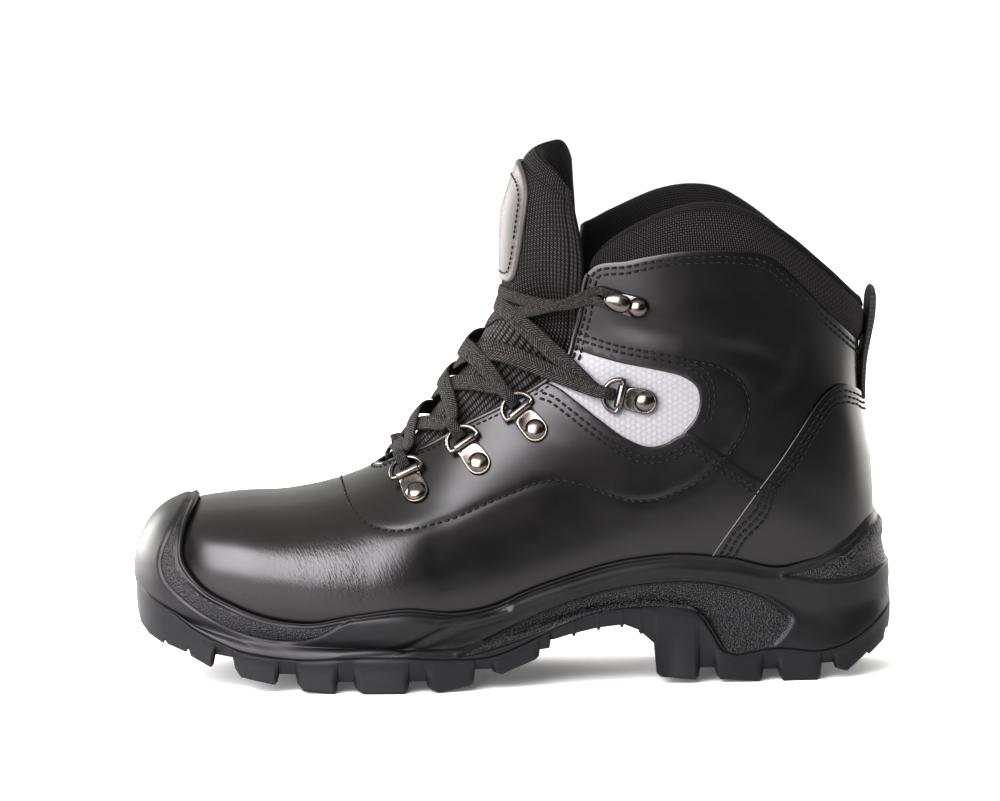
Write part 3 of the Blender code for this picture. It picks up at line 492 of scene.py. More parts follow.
def loft(rings, closed=False):
    """Points and faces of a solid through closed rings of points, capped unless it closes on itself."""
    count, sides = rings.shape[:2]
    index = np.arange(count * sides).reshape(count, sides)
    index = np.concatenate([index, index[:, :1]], 1)
    caps = []
    if closed:
        index = np.concatenate([index, index[:1]])
    else:
        caps = [tuple(index[0, :-1][::-1]), tuple(index[-1, :-1])]
    return rings.reshape(-1, 3), [tuple(face) for face in quads(index)] + caps


def joined(parts):
    """Several (points, faces) as one."""
    points = []
    faces = []
    count = 0
    for part_points, part_faces in parts:
        points.append(np.asarray(part_points).reshape(-1, 3))
        faces += [tuple(int(i) + count for i in face) for face in part_faces]
        count += len(points[-1])
    return np.concatenate(points), faces


# Lines on the form

def curve(points, closed=False, spacing=0.8):
    """A smooth line through points, as many dimensions as they have."""
    points = np.asarray(points, float)
    if closed:
        points = np.concatenate([points[-3:], points, points[:3]])
    lengths = np.maximum(np.linalg.norm(np.diff(points, axis=0), axis=1), 1e-6)
    knots = np.concatenate([[0.0], np.cumsum(np.sqrt(lengths))])
    first, last = (knots[3], knots[-3]) if closed else (knots[0], knots[-1])
    count = max(int(lengths.sum() / spacing), 8)
    at = np.linspace(first, last, count, endpoint=not closed)
    return np.stack([smooth(at, knots, points[:, k]) for k in range(points.shape[1])], 1)


def trace(rows):
    """Chart places of a smooth line through (along, up, side) places of the side view."""
    found = np.array([locate(along, up, side) for along, up, side in rows])
    turn = np.unwrap(found[:, 1] * [side for _, _, side in rows])
    scale = 150.0
    line = curve(np.stack([found[:, 0], turn * scale], 1))
    turn = line[:, 1] / scale
    return chart_at(line[:, 0], turn)


def both_sides(line):
    """A side-view line on the lateral side, then on the medial side."""
    return [trace([(along, up, side) for along, up in line]) for side in SIDES.values()]


def over_middle(line):
    """One chart line: a side-view line from its end on the lateral side, then back on the medial side."""
    rows = [(along, up, LATERAL) for along, up in line[::-1]] + [(along, up, MEDIAL) for along, up in line]
    return trace(rows)


def spaced(chart, pitch):
    """The same chart line with its places a pitch apart on the form."""
    travel = travelled(on_form(chart))
    at = np.linspace(0, travel[-1], max(int(round(travel[-1] / pitch)), 2) + 1)
    return np.stack([np.interp(at, travel, chart[:, k]) for k in (0, 1)], 1)


def shifted(chart, distance):
    """A chart line moved sideways over the form by a distance, to the left of its run seen from outside."""
    points, normal, by_x, by_y = surface(chart)
    ahead = unit(np.gradient(points, axis=0))
    move = np.cross(normal, ahead) * distance
    xx, xy, yy = (by_x * by_x).sum(1), (by_x * by_y).sum(1), (by_y * by_y).sum(1)
    right_x, right_y = (by_x * move).sum(1), (by_y * move).sum(1)
    below = np.maximum(xx * yy - xy * xy, 1e-9)
    step = np.stack([yy * right_x - xy * right_y, xx * right_y - xy * right_x], 1) / below[:, None]
    return chart + step


def signed_distance(places, outline_points):
    """Distance of side-view places from a closed outline, positive inside."""
    flat = places.reshape(-1, 2)
    best = np.full(len(flat), np.inf)
    inside = np.zeros(len(flat), bool)
    for start, end in zip(outline_points, np.roll(outline_points, -1, 0)):
        run = end - start
        share = np.clip(((flat - start) @ run) / max(run @ run, 1e-9), 0, 1)
        best = np.minimum(best, np.linalg.norm(flat - start - share[:, None] * run, axis=1))
        crosses = (start[1] > flat[:, 1]) != (end[1] > flat[:, 1])
        rise = np.where(abs(run[1]) < 1e-9, 1e-9, run[1])
        inside ^= crosses & (flat[:, 0] < start[0] + (flat[:, 1] - start[1]) / rise * run[0])
    return np.where(inside, best, -best).reshape(places.shape[:-1])


def closest(points, line):
    """Distance of each point from the nearest point of a line."""
    flat = points.reshape(-1, 3)
    found = np.empty(len(flat))
    for start in range(0, len(flat), 4000):
        part = flat[start : start + 4000]
        squares = (part**2).sum(1)[:, None] + (line**2).sum(1)[None] - 2 * part @ line.T
        found[start : start + 4000] = np.sqrt(np.maximum(squares.min(1), 0))
    return found.reshape(points.shape[:-1])


# Leather panels

def cut(chart, keep, wrap):
    """The part of a chart grid where keep is positive: chart places and faces, with edges on keep = 0."""
    rows, columns = keep.shape
    index = np.arange(rows * columns).reshape(rows, columns)
    if wrap:
        index = np.concatenate([index, index[:1]])
    places = chart.reshape(-1, 2).copy()
    value = keep.reshape(-1).copy()
    pairs = np.concatenate([
        np.stack([index[:-1].ravel(), index[1:].ravel()], 1),
        np.stack([index[:, :-1].ravel(), index[:, 1:].ravel()], 1),
    ])
    crossing = pairs[value[pairs[:, 0]] * value[pairs[:, 1]] < 0]
    share = value[crossing[:, 0]] / (value[crossing[:, 0]] - value[crossing[:, 1]])
    near = np.where(share < 0.5, crossing[:, 0], crossing[:, 1])
    depth = np.minimum(share, 1 - share)
    spot = places[crossing[:, 0]] + share[:, None] * (places[crossing[:, 1]] - places[crossing[:, 0]])
    for k in np.argsort(-depth):
        if depth[k] < 0.3:
            places[near[k]] = spot[k]
            value[near[k]] = 0.0
    faces = quads(index)
    corner = value[faces]
    whole = (corner >= 0).all(1) & (corner > 0).any(1)
    kept = [tuple(face) for face in faces[whole]]
    extra = []
    made = {}
    for face in faces[(corner > 0).any(1) & (corner < 0).any(1)]:
        loop = []
        for a, b in zip(face, np.roll(face, -1)):
            if value[a] >= 0:
                loop.append(int(a))
            if value[a] * value[b] < 0:
                key = (min(a, b), max(a, b))
                if key not in made:
                    made[key] = len(places) + len(extra)
                    t = value[a] / (value[a] - value[b])
                    extra.append(places[a] + t * (places[b] - places[a]))
                loop.append(made[key])
        if len(loop) > 2:
            kept.append(tuple(loop))
    if extra:
        places = np.concatenate([places, np.array(extra)])
    used = np.unique(np.concatenate([np.array(face) for face in kept]))
    number = np.full(len(places), -1)
    number[used] = np.arange(len(used))
    return places[used], [tuple(number[list(face)]) for face in kept]


def rims(points, normal, faces):
    """A surface's border: its corners in pairs, and for each point the direction out of the surface."""
    count = {}
    for face in faces:
        for a, b in zip(face, face[1:] + face[:1]):
            key = (min(a, b), max(a, b))
            count[key] = (a, b, face) if key not in count else None
    border = [entry for entry in count.values() if entry is not None]
    out = np.zeros_like(points)
    for a, b, face in border:
        across = np.cross(points[b] - points[a], normal[a])
        middle = points[list(face)].mean(0)
        across *= np.sign(across @ (points[a] + points[b] - 2 * middle))
        out[a] += across
        out[b] += across
    return np.array([(a, b) for a, b, _ in border]), unit(out)


def panel(name, chart, faces, lift, back, finish, slot, nodes=(), round_edge=0.6, relief=None, marks=None):
    """A leather panel on the form with rounded edges, its top at a lift and its back at a lower one."""
    points, normal = surface(chart)[:2]
    border, out = rims(points, normal, faces)
    top = np.full(len(points), lift) + (relief(points) if relief else 0.0)
    edge = np.unique(border)
    number = np.full(len(points), -1)
    number[edge] = np.arange(len(edge))
    layers = [points + normal * top[:, None]]
    for angle in np.radians([32, 62, 90]):
        drop = top[edge] - round_edge * (1 - math.cos(angle))
        layers.append(points[edge] + out[edge] * round_edge * math.sin(angle) + normal[edge] * drop[:, None])
    layers.append(points[edge] + out[edge] * round_edge + normal[edge] * back)
    layers.append(points + normal * back)
    starts = np.cumsum([0] + [len(layer) for layer in layers])
    all_faces = list(faces) + [tuple(starts[-2] + i for i in face[::-1]) for face in faces]
    whole = np.arange(len(points))
    numbers = [whole, *(number + start for start in starts[1:5]), whole + starts[5]]
    for low, high in zip(numbers, numbers[1:]):
        all_faces += [(low[a], high[a], high[b], low[b]) for a, b in border]

    def on_layers(values):
        """Values of the surface's points, repeated for every layer."""
        return np.concatenate([values, *[values[edge]] * 4, values])

    layer_marks = {key: on_layers(mark(points)) for key, mark in (marks or {}).items()}
    uv = on_layers(points[:, [0, 2]])
    make(name, np.concatenate(layers), all_faces, finish, slot, nodes, uv=uv, marks=layer_marks)


UPPER_CHART = np.concatenate([
    rib_grid("feather", "rim", (0.35, 0.6, 0.85)), rib_grid("rim", "top", np.linspace(0, 1, RISE_STEPS + 1)),
], 1)
UPPER_POINTS = on_form(UPPER_CHART)
UPPER_PLACES = UPPER_POINTS[..., [0, 2]]
SEWN_LINE = over_middle(VAMP_LINE)
SEWN_POINTS = on_form(spaced(SEWN_LINE, 0.7))


def outline_of(line, *corners):
    """A closed side-view outline from a smooth line and the corners that close it."""
    return np.concatenate([curve(line), np.array(corners, float)])


VAMP_OUTLINE = outline_of(VAMP_TOP, (330, 260), (163, 260))
ANKLE_OUTLINE = outline_of(ANKLE_FOOT, (330, 260), (150, 260), (150, 138.6))
COUNTER_OUTLINE = outline_of(COUNTER_EDGE, (340, 112), (340, 0), (229, 0))
PATCH_OUTLINE = curve(PATCH_EDGE, closed=True)

# Creases of the leather in the side view: where they start, bend and end, their depth and half width
CREASES = (
    (((76, 66), (72, 58), (70, 48)), 0.22, 6.0),
    (((97, 62), (93, 54), (91, 45)), 0.14, 5.0),
    (((122, 64), (120, 55), (121, 46)), 0.16, 6.0),
    (((152, 112), (160, 104), (172, 100)), 0.3, 4.0),
    (((232, 140), (214, 143), (192, 147)), 0.5, 6.0),
    (((262, 128), (246, 134), (226, 136)), 0.45, 5.0),
    (((256, 112), (266, 122), (270, 136)), 0.4, 5.0),
)


def leather_relief(points):
    """Heights of the leather's soft troughs: the valley of the sewn line and the creases."""
    gap = closest(points, SEWN_POINTS)
    found = -0.22 * hump(gap, 1.3) + 0.04 * hump(gap - 4.2, 2.4)
    for line, depth, width in CREASES:
        for chart in both_sides(line):
            run = on_form(chart)
            steps = np.linspace(0, 1, len(run))
            fade = np.sin(math.pi * np.clip(0.08 + 0.84 * steps, 0, 1))
            flat = points.reshape(-1, 3)
            squares = ((flat[:, None] - run[None, ::3]) ** 2).sum(-1)
            nearest = squares.argmin(1)
            away = np.sqrt(squares[np.arange(len(flat)), nearest]) / width
            found = found - depth * fade[::3][nearest] * np.exp(-(away**2)) * (1 - 0.5 * away**2)
    return found


def counter_relief(points):
    """Heights of the heel counter: thinner towards its front edge."""
    return -0.55 * ramp(points[:, 0], 288, -34)


def flex(points):
    """How much a place of the vamp flexes in walking, from 0 to 1."""
    return hump(points[:, 0] - 78, 26) * hump(points[:, 2] - 50, 16)


def no_flex(points):
    """Leather that doesn't flex."""
    return np.zeros(len(points))


def build_leather():
    """The vamp, ankle panel, heel counter and pale patch, each cut from the boot's own form."""
    sheets = (
        ("upper_vamp", VAMP_OUTLINE, -1, VAMP_LIFT, LEATHER_BACK, ("upper",), leather_relief, flex),
        ("upper_ankle", ANKLE_OUTLINE, 1, ANKLE_LIFT, LEATHER_BACK, (), leather_relief, no_flex),
        ("heel_counter_overlay", COUNTER_OUTLINE, 1, COUNTER_LIFT, COUNTER_BACK, ("heel_counter",),
         counter_relief, no_flex),
    )
    for name, outline_points, kept_side, lift, back, nodes, relief, bends in sheets:
        chart, faces = cut(UPPER_CHART, kept_side * signed_distance(UPPER_PLACES, outline_points), True)
        panel(name, chart, faces, lift, back, LEATHER, "leather", nodes, relief=relief, marks={"flex": bends})
    halves = np.array_split(np.arange(len(UPPER_CHART)), [HALF_RIBS + 1])
    for word, rows in zip(SIDES, halves):
        keep = signed_distance(UPPER_PLACES[rows], PATCH_OUTLINE)
        chart, faces = cut(UPPER_CHART[rows], keep, False)
        panel(f"side_patch_{word}", chart, faces, PATCH_LIFT, LEATHER_BACK, REFLECTIVE, "textile",
              round_edge=PATCH_EDGE_ROUND)


def wall_thickness(foot):
    """The upper's wall, which is thicker from the instep back."""
    return WALL_VAMP + (WALL_SHAFT - WALL_VAMP) * ramp(foot, 130, 50)


def build_lining():
    """The textile lining of the upper, from the sole to the leather's top edge."""
    shares = np.linspace(0, 1, 5)[:-1]
    chart = np.concatenate([
        rib_grid("feather", "rim", shares), rib_grid("rim", "top", np.linspace(0, 0.985, 22)),
    ], 1)[::2]
    points, normal = surface(chart)[:2]
    outer = points + normal * (LEATHER_BACK - 0.05)
    inner = points - normal * wall_thickness(FOOT[::2])[:, None, None]
    rise = np.cumsum(np.linalg.norm(np.diff(points, axis=1, prepend=points[:, :1]), axis=2), axis=1)
    uv = grid_uv(travelled(points[:, 10])[:, None], rise)
    shape = slab(outer, inner, wrap=True)
    make("upper_lining", *shape, LINING, "textile", uv=np.concatenate([uv, uv]))


# The padded collar and tongue

# The collar's cross-section, as (share of the way up to its rim, millimetres out from the form)
COLLAR_PROFILE = (
    (-0.42, -1.7), (-0.12, -1.3), (0.02, -0.5), (0.16, 0.7), (0.42, 1.7), (0.66, 1.6), (0.82, 0.7),
    (0.885, 0.0), (0.92, 0.55), (0.975, 0.3), (1.02, -1.2), (1.03, -3.6), (0.99, -6.4), (0.86, -8.6),
    (0.6, -9.6), (0.2, -9.6), (-0.3, -8.8), (-0.8, -7.2), (-1.25, -5.0), (-1.3, -4.3), (-0.8, -4.2),
    (-0.45, -3.4),
)


def build_collar():
    """The padded collar: a rolled textile band on the leather's top edge, with its sewn rim and inner pad."""
    kept = np.flatnonzero(FOOT > COLLAR_START)[::2]
    profile = curve(COLLAR_PROFILE, closed=True, spacing=0.35)
    low = full_loop("top")[kept]
    high = full_loop("collar")[kept]
    steps = unit(high - low)
    length = np.linalg.norm(on_form(high) - on_form(low), axis=1)
    chart_length = np.linalg.norm(high - low, axis=1)
    end = np.minimum(np.arange(len(kept)), np.arange(len(kept))[::-1]) / 18
    swell = np.clip(0.45 + 0.55 * end, 0, 1)
    tall = np.maximum(length, 17.0) / length
    share = profile[None, :, 0] * np.ones((len(kept), 1))
    share = np.where(share < 0, share * tall[:, None] * 1.1, share)
    chart = low[:, None] + steps[:, None] * (chart_length[:, None] * share)[..., None]
    points, normal = surface(chart)[:2]
    medial = ramp(kept, HALF_RIBS, 40)
    rim_along = points[:, :, 0].mean(1)
    points[..., 2] += (medial * height(MEDIAL_RISE, rim_along))[:, None] * np.clip(share, 0, 1)
    rings = points + normal * (profile[None, :, 1] * swell[:, None])[..., None]
    uv = grid_uv(travelled(rings[:, 12])[:, None], travelled(rings[len(kept) // 2])[None])
    inner = np.clip((-1.5 - profile[None, :, 1] * swell[:, None]) / 2, 0, 1) * (share > 0.9)
    inner = np.maximum(inner, (profile[None, :, 1] < -2.5) * np.ones_like(share))
    inner = np.maximum(inner, (share > 0.875) * 1.0)
    made = make("collar_pad", *loft(rings), WEAVE, "textile", ("collar",), uv=uv, marks={"lining": inner})


TONGUE_LOW_ALONG = 91.0
TONGUE_TOP_UP = 216.5
# Share of the way up where the tongue's top starts to close, and the share over which it does
TONGUE_ROUND = 0.93
TONGUE_CLOSE = 0.0702
# How far the tongue leans back off the form, by height
TONGUE_LEAN = ((100, 0), (184, 0), (190, 0.7), (197.5, 2.4), (204, 3.9), (210, 5.2), (222, 8))


def tongue_place(t, s):
    """Points and normals of the tongue's outer face: t runs up it from 0 to 1, s across it from -1 to 1."""
    low = reach_where("top_along", TONGUE_LOW_ALONG, 1)
    high = reach_where("top_up", TONGUE_TOP_UP, 100)
    across = np.abs(s) ** 1.5
    corner = ramp(np.abs(s), 0.7, 0.3) ** 2
    top = high + np.where(s < 0, -12.0 * across - 4.0 * corner, 10.0 * across - 12.0 * corner)
    reach = low + (top - low) * t
    spread = np.radians(smooth(t, [0, 0.12, 0.4, 0.7, 0.9, 1], [14, 28, 47, 47.5, 50.5, 44]))
    points, normal = surface(chart_at(reach, spread * s))[:2]
    tuck_foot = np.clip(1 - t / 0.16, 0, 1)
    tuck_edge = ramp(np.abs(s), 0.42, 0.34) * np.clip((0.86 - t) / 0.2, 0.12, 1)
    sink = (WALL_SHAFT + 1.4) * np.maximum(tuck_foot, eased(tuck_edge))
    found = points - normal * sink[..., None]
    found[..., 0] += height(TONGUE_LEAN, found[..., 2]) * (1 - 0.6 * across)
    return found, normal


def build_tongue():
    """The padded tongue with its rounded top and sewn edge roll."""
    tip = TONGUE_ROUND + (1 - TONGUE_ROUND) * np.sin(np.linspace(0, math.pi / 2, 22)[1:])
    rows = np.concatenate([np.linspace(0, TONGUE_ROUND, 90), tip])
    columns = 60
    angle = turns_round(2 * columns)
    s = powered(np.cos(angle), 0.55)
    bulge = np.sign(np.sin(angle)) * (1 - np.abs(s) ** 2.8) ** (1 / 2.8)
    t_grid, s_grid = np.meshgrid(rows, s, indexing="ij")
    points, normal = tongue_place(t_grid, s_grid)
    thick = smooth(rows, [0, 0.3, 0.6, 0.9, 1], [3.4, 5.0, 8.5, 10.0, 10.0])
    close = np.sqrt(np.clip(1 - (np.clip(rows - TONGUE_ROUND, 0, 1) / TONGUE_CLOSE) ** 2, 0.0, 1))
    half = thick * (0.04 + 0.96 * close) / 2
    front = bulge[None] > 0.2
    groove = 0.9 * hump(t_grid - 0.968, 0.005) * front
    edge_groove = 0.8 * hump(np.abs(s_grid) - 0.925, 0.016) * front
    offset = -thick[:, None] / 2 + bulge[None] * half[:, None] - groove - edge_groove
    rings = points + normal * offset[..., None]
    uv = grid_uv(s_grid * 34, travelled(points[:, columns // 2])[:, None])
    ribbed = (t_grid < 0.56) * 1.0
    lining = np.maximum(ribbed, (bulge[None] < -0.5) * np.ones_like(t_grid))
    marks = {"lining": lining, "ribbed": ribbed}
    made = make("tongue_pad", *loft(rings), WEAVE, "textile", ("tongue",), uv=uv, marks=marks)


# The bare badge on the tongue's front: middle and half size as shares of the tongue, and cross-section
BADGE_MIDDLE = 0.812
BADGE_HALF_TALL = 0.156
BADGE_HALF_WIDE = 0.5
BADGE_PROFILE = (
    (0.02, 0.75), (0.3, 0.75), (0.6, 0.75), (0.8, 0.75), (0.86, 0.7), (0.9, 0.85), (0.94, 1.05), (0.975, 1.0),
    (0.995, 0.7), (1.0, 0.2), (1.0, -0.6), (0.6, -0.6), (0.02, -0.6),
)


def badge_place(share, angle):
    """Points and normals on the tongue's front at a share of the way from the badge's middle to its edge."""
    tall = powered(np.cos(angle), 0.45)
    wide = powered(np.sin(angle), 0.55) * (1 + 0.16 * tall)
    return tongue_place(BADGE_MIDDLE + BADGE_HALF_TALL * share * tall, BADGE_HALF_WIDE * share * wide)


def build_badge():
    """The plain grey badge on the tongue, its raised edge and one row of stitches."""
    angle = turns_round(120)
    rings = []
    for share, lift in BADGE_PROFILE:
        points, normal = badge_place(np.full(len(angle), share), angle)
        rings.append(points + normal * lift)
    make("tongue_badge", *loft(np.array(rings)), BADGE, "leather")
    fine = np.linspace(0, 2 * math.pi, 1200)
    points, normal = badge_place(np.full(len(fine), 0.8), fine)
    travel = travelled(points)
    picks = np.searchsorted(travel, np.arange(0.5, travel[-1] - 0.5, 2.2))
    ahead = unit(np.gradient(points, axis=0))
    shape = stitches((points + normal * 0.78)[picks], normal[picks], ahead[picks], 1.7, 0.3)
    make("badge_stitches", *joined(shape), THREAD, "leather", tidy=False)


# The sole

TOE_BAND_INNER = (
    (26, 73.5), (23, 68), (20, 60), (20, 53), (22, 47), (28, 40.5), (42, 34), (55, 30), (68, 28), (79, 29.5),
    (90, 32.5),
)
TOE_BAND_OUTER = (
    (82, 28), (76, 24), (70, 21.5), (63, 20.5), (54, 21), (42, 24), (30, 29.5), (19, 37), (12, 44), (10, 50),
    (11, 56), (14, 63), (18, 70), (21, 74.5),
)
SIDE_PANEL = (
    (130, 14.5), (145, 22.5), (160, 29.5), (175, 35), (192, 39.5), (210, 41.5), (227, 41.5), (240, 39),
    (252, 35), (261, 29.5), (265.5, 25.5), (263, 20), (257, 14.5), (250, 12), (243, 11), (239, 13), (235, 20),
    (232, 25.5), (226, 30), (209, 31.5), (191, 29.5), (174, 26.5), (155, 20.5), (141, 16.5),
)
HEEL_BAND = (
    (263, 43.4), (269, 45), (275.3, 46.6), (283, 50), (290.5, 53.6), (300.7, 62.2), (309, 65), (316, 58),
    (313, 48.4), (303, 44.6), (296.7, 41.6), (286, 40.4), (277, 40.6), (269, 42),
)
SOLE_CREASE = ((84, 13.5), (96, 15), (107, 17.5), (118, 23), (129, 28), (139, 31), (150, 33.5))


def sole_relief(points, below):
    """Relief of the midsole's side and where it is stippled: recessed bands with lips, and a soft fold."""
    places = points[..., [0, 2]]
    toe = signed_distance(places, np.concatenate([curve(TOE_BAND_INNER), curve(TOE_BAND_OUTER)]))
    side = signed_distance(places, curve(SIDE_PANEL, closed=True))
    heel = signed_distance(places, curve(HEEL_BAND, closed=True))
    relief = np.zeros(places.shape[:-1])
    stipple = np.zeros(places.shape[:-1])
    for inside, depth, lip, clear in ((toe, 0.45, 0.06, 3.6), (side, 0.9, 0.4, 0.0), (heel, 0.7, 0.3, 0.0)):
        relief -= depth * eased(np.clip(inside / 0.9 + 0.5, 0, 1))
        relief += lip * hump(inside + 1.2, 0.8) - 0.35 * hump(inside - 0.3, 0.45)
        under_rim = np.clip((below - clear) / 0.8 + 1, 0, 1)
        stipple = np.maximum(stipple, ramp(inside, 0.4, 0.5) * under_rim)
    fold = curve(SOLE_CREASE)
    away = np.sqrt(((places[..., None, :] - fold[::2]) ** 2).sum(-1)).min(-1)
    relief += 0.3 * hump(away - 3.0, 1.6) - 0.7 * hump(away, 1.1)
    return relief, stipple


RIM_THICK = 2.2
HEEL_RIM_THICK = 1.1
TOE_GUARD_THICK = 3.6


def refined(loop):
    """A loop of ribs right round the boot with one more rib midway between each two."""
    before, after, later = (np.roll(loop, shift, 0) for shift in (1, -1, -2))
    middle = (9 * (loop + after) - before - later) / 16
    return np.stack([loop, middle], 1).reshape(-1, *loop.shape[1:])


def build_midsole():
    """The moulded cup: floor, raised rim with a groove and bead, toe guard, stippled bands and heel cup."""
    foot = FOOT[:, None]
    rim = RIM_THICK + (TOE_GUARD_THICK - RIM_THICK) * ramp(foot, 60, -60)
    rim = rim + (HEEL_RIM_THICK - RIM_THICK) * ramp(foot, 265, 25)
    tall = np.linalg.norm(np.diff(WALL, axis=1), axis=2).sum(1)[:, None]
    t = WALL_SHARE[None]
    below = (1 - t) * tall
    groove = 1.4 * np.clip(1.3 - np.abs(foot - 150) / 115, 0.6, 1)
    bead = 0.9 * ramp(foot, 88, 30) * ramp(foot, 275, -30)
    heel = 2.7 * ramp(foot, 276, 24)
    stand = rim + (height(SOLE_FLARE, foot) - 0.6 - rim) * (1 - t) ** 0.8
    stand = stand - groove * hump(below - 1.7, 1.0) + bead * hump(below - 5.8, 2.5)
    stand = stand + heel * hump(below - 5.4, 4.2)
    not_down = np.maximum(WALL_NORMAL[..., 2], 0)
    level = unit(np.stack([WALL_NORMAL[..., 0], WALL_NORMAL[..., 1], not_down], -1))
    inside = WALL + WALL_NORMAL * 0.45
    outside = (WALL + level * stand[..., None])[:, ::-1]
    lip = WALL[:, -1:] + WALL_NORMAL[:, -1:] * (0.45 + (stand[:, -1:, None] - 0.45) * 0.5)
    lip = lip + unit(WALL[:, -1:] - WALL[:, -2:-1]) * 0.5
    fine = np.linspace(0, 1, LOWER_STEPS + 1)[1:]
    t = fine[None, :, None]
    start = outside[:, -1:]
    base = SOLE_BASE[:, None]
    span = np.linalg.norm(base - start, axis=2, keepdims=True)
    leave = unit(start - outside[:, -5:-4]) * span
    arrive = np.array([0, 0, -0.8]) * span
    lower = start * (1 + 2 * t) * (1 - t) ** 2 + base * t**2 * (3 - 2 * t)
    lower = lower + leave * t * (1 - t) ** 2 - arrive * t**2 * (1 - t)
    wall = refined(np.concatenate([outside, lower], 1))
    down = np.concatenate([below[:, ::-1], tall + 6 * fine[None] + 0 * tall], 1)
    across = np.roll(wall, -1, 0) - np.roll(wall, 1, 0)
    outward = unit(np.cross(np.gradient(wall, axis=1), across))
    relief, stipple = sole_relief(wall, refined(down))
    hold = np.linspace(0, 1, wall.shape[1])
    relief = relief * np.clip(hold * 30, 0, 1) * np.clip((1 - hold) * 40, 0, 1)
    wall = wall + outward * relief[..., None]
    floor = inside[:, :1].copy()
    floor[..., 2] = height(FEATHER_EDGE, floor[..., 0]) - 0.4
    hidden = refined(np.concatenate([floor, inside[:, ::4], lip], 1))
    profile = np.concatenate([hidden, wall], 1)
    mark = np.concatenate([np.zeros(hidden.shape[:2]), stipple], 1)
    lateral, medial = across_ribs(profile)
    mark_lateral, mark_medial = across_ribs(mark)
    points, faces = loft(np.concatenate([lateral, medial[:, ::-1]], 1))
    marks = {"stipple": np.concatenate([mark_lateral, mark_medial[:, ::-1]], 1).ravel()}
    make("midsole_cup", points, faces[:-2], SOLE, "midsole", ("midsole",), marks=marks)


# The tread's lower line in the side view where it has no blocks: toe, arch and heel
TOE_EDGE = (
    (-1, 36), (0.5, 30), (2, 24.5), (5.5, 21), (11.5, 18), (12, 19.5), (13, 18), (20.5, 15.5), (21.5, 17),
    (22.5, 14), (30.5, 10), (31.5, 11), (32.5, 15),
)
ARCH_EDGE = (
    (162.5, 15.5), (166.5, 16), (167, 19.5), (174, 21.5), (186, 24), (197, 25), (203, 22.5), (209, 17),
)
HEEL_EDGE = ((298, 9), (305, 14), (306, 18), (307.5, 18.5), (308.5, 22), (309.5, 26))
# Tread blocks: front and back ends, heights of both, height of the gap in front, and the front slope's length
FORE_BLOCKS = (
    (42.5, 56, 6.5, 3.5, 14, 3.2), (67.5, 79.5, 1, 0, 7.5, 3.2), (91.5, 108, 0, 0, 4.5, 4),
    (121.5, 134.5, 0, 2.5, 4.5, 5), (147, 161, 6.5, 12, 8.5, 4),
)
HEEL_BLOCKS = (
    (212, 226, 3, 1.5, 5, 2), (236, 252, 1.5, 0, 6, 2.5), (262, 276, 0, 0, 4.5, 2.5),
    (288.5, 296, 3, 9, 6.5, 6),
)
# A block's steep start and its share of the front's height, the bevel at its back, and the gap's end wall
BLOCK_START = 0.8
START_SHARE = 0.55
BLOCK_BEVEL = (1.2, 1.0)
GAP_WALL = 0.6


def block_run(blocks):
    """The lower line of a run of tread blocks, and the gaps between them."""
    line = []
    gaps = []
    for front, back, front_up, back_up, gap_up, slope in blocks:
        foot = front - slope
        if line:
            gap_start = line[-1][0] + GAP_WALL
            line.append((gap_start, gap_up))
            gaps.append((gap_start, foot))
        start_up = gap_up - START_SHARE * (gap_up - front_up)
        line += [(foot, gap_up), (foot + BLOCK_START, start_up), (front, front_up), (back, back_up)]
        line.append((back + BLOCK_BEVEL[0], back_up + BLOCK_BEVEL[1]))
    return line, gaps


FORE_LINE, FORE_GAPS = block_run(FORE_BLOCKS)
HEEL_LINE, HEEL_GAPS = block_run(HEEL_BLOCKS)
TREAD_EDGE = (*TOE_EDGE, *FORE_LINE, *ARCH_EDGE, *HEEL_LINE, *HEEL_EDGE)
TREAD_GAPS = ((TOE_EDGE[-1][0], FORE_LINE[0][0]), *FORE_GAPS, (ARCH_EDGE[0][0], ARCH_EDGE[1][0]), *HEEL_GAPS)
# How high the tread's floor lies between the rows of blocks
TREAD_FLOOR = (
    (-1, 38), (6, 29.5), (12, 26.5), (22, 22.5), (32, 18.5), (42, 14.5), (56, 11), (68, 9), (82, 8), (110, 8),
    (122, 8.5), (136, 11.5), (148, 13), (162, 17.5), *ARCH_EDGE[3:], (210, 11), (228, 9), (252, 7.5),
    (275, 8.5), (285, 10), (297, 15), (305, 20), (308, 25), (309.5, 28),
)
ARCH_RIBS = (176.5, 186.5, 196.0, 203.5)
MIDDLE_BLOCKS = ((34.0, 150.0), (217.0, 284.0))
# How much further back the medial ends of the grooves lie, by the place along
TREAD_LEAN = ((-5, 0), (60, 0.6), (100, 2.6), (150, 4.4), (210, 6.6), (255, 8.2), (290, 5), (312, 0))
# Across the tread, as a share of its half width: middle blocks, groove, side blocks
TREAD_COLUMNS = (0.0, 0.11, 0.22, 0.29, 0.38, 0.45, 0.58, 0.72, 0.86, 0.95)
# The tread's side, as (share of the way down, millimetres out past the midsole)
TREAD_SIDE = (
    (0, -0.3), (0.03, 0.3), (0.08, 0.75), (0.15, 0.85), (0.22, 0.6), (0.3, 0.3), (0.5, 0.25), (0.75, 0.1),
    (1, 0),
)


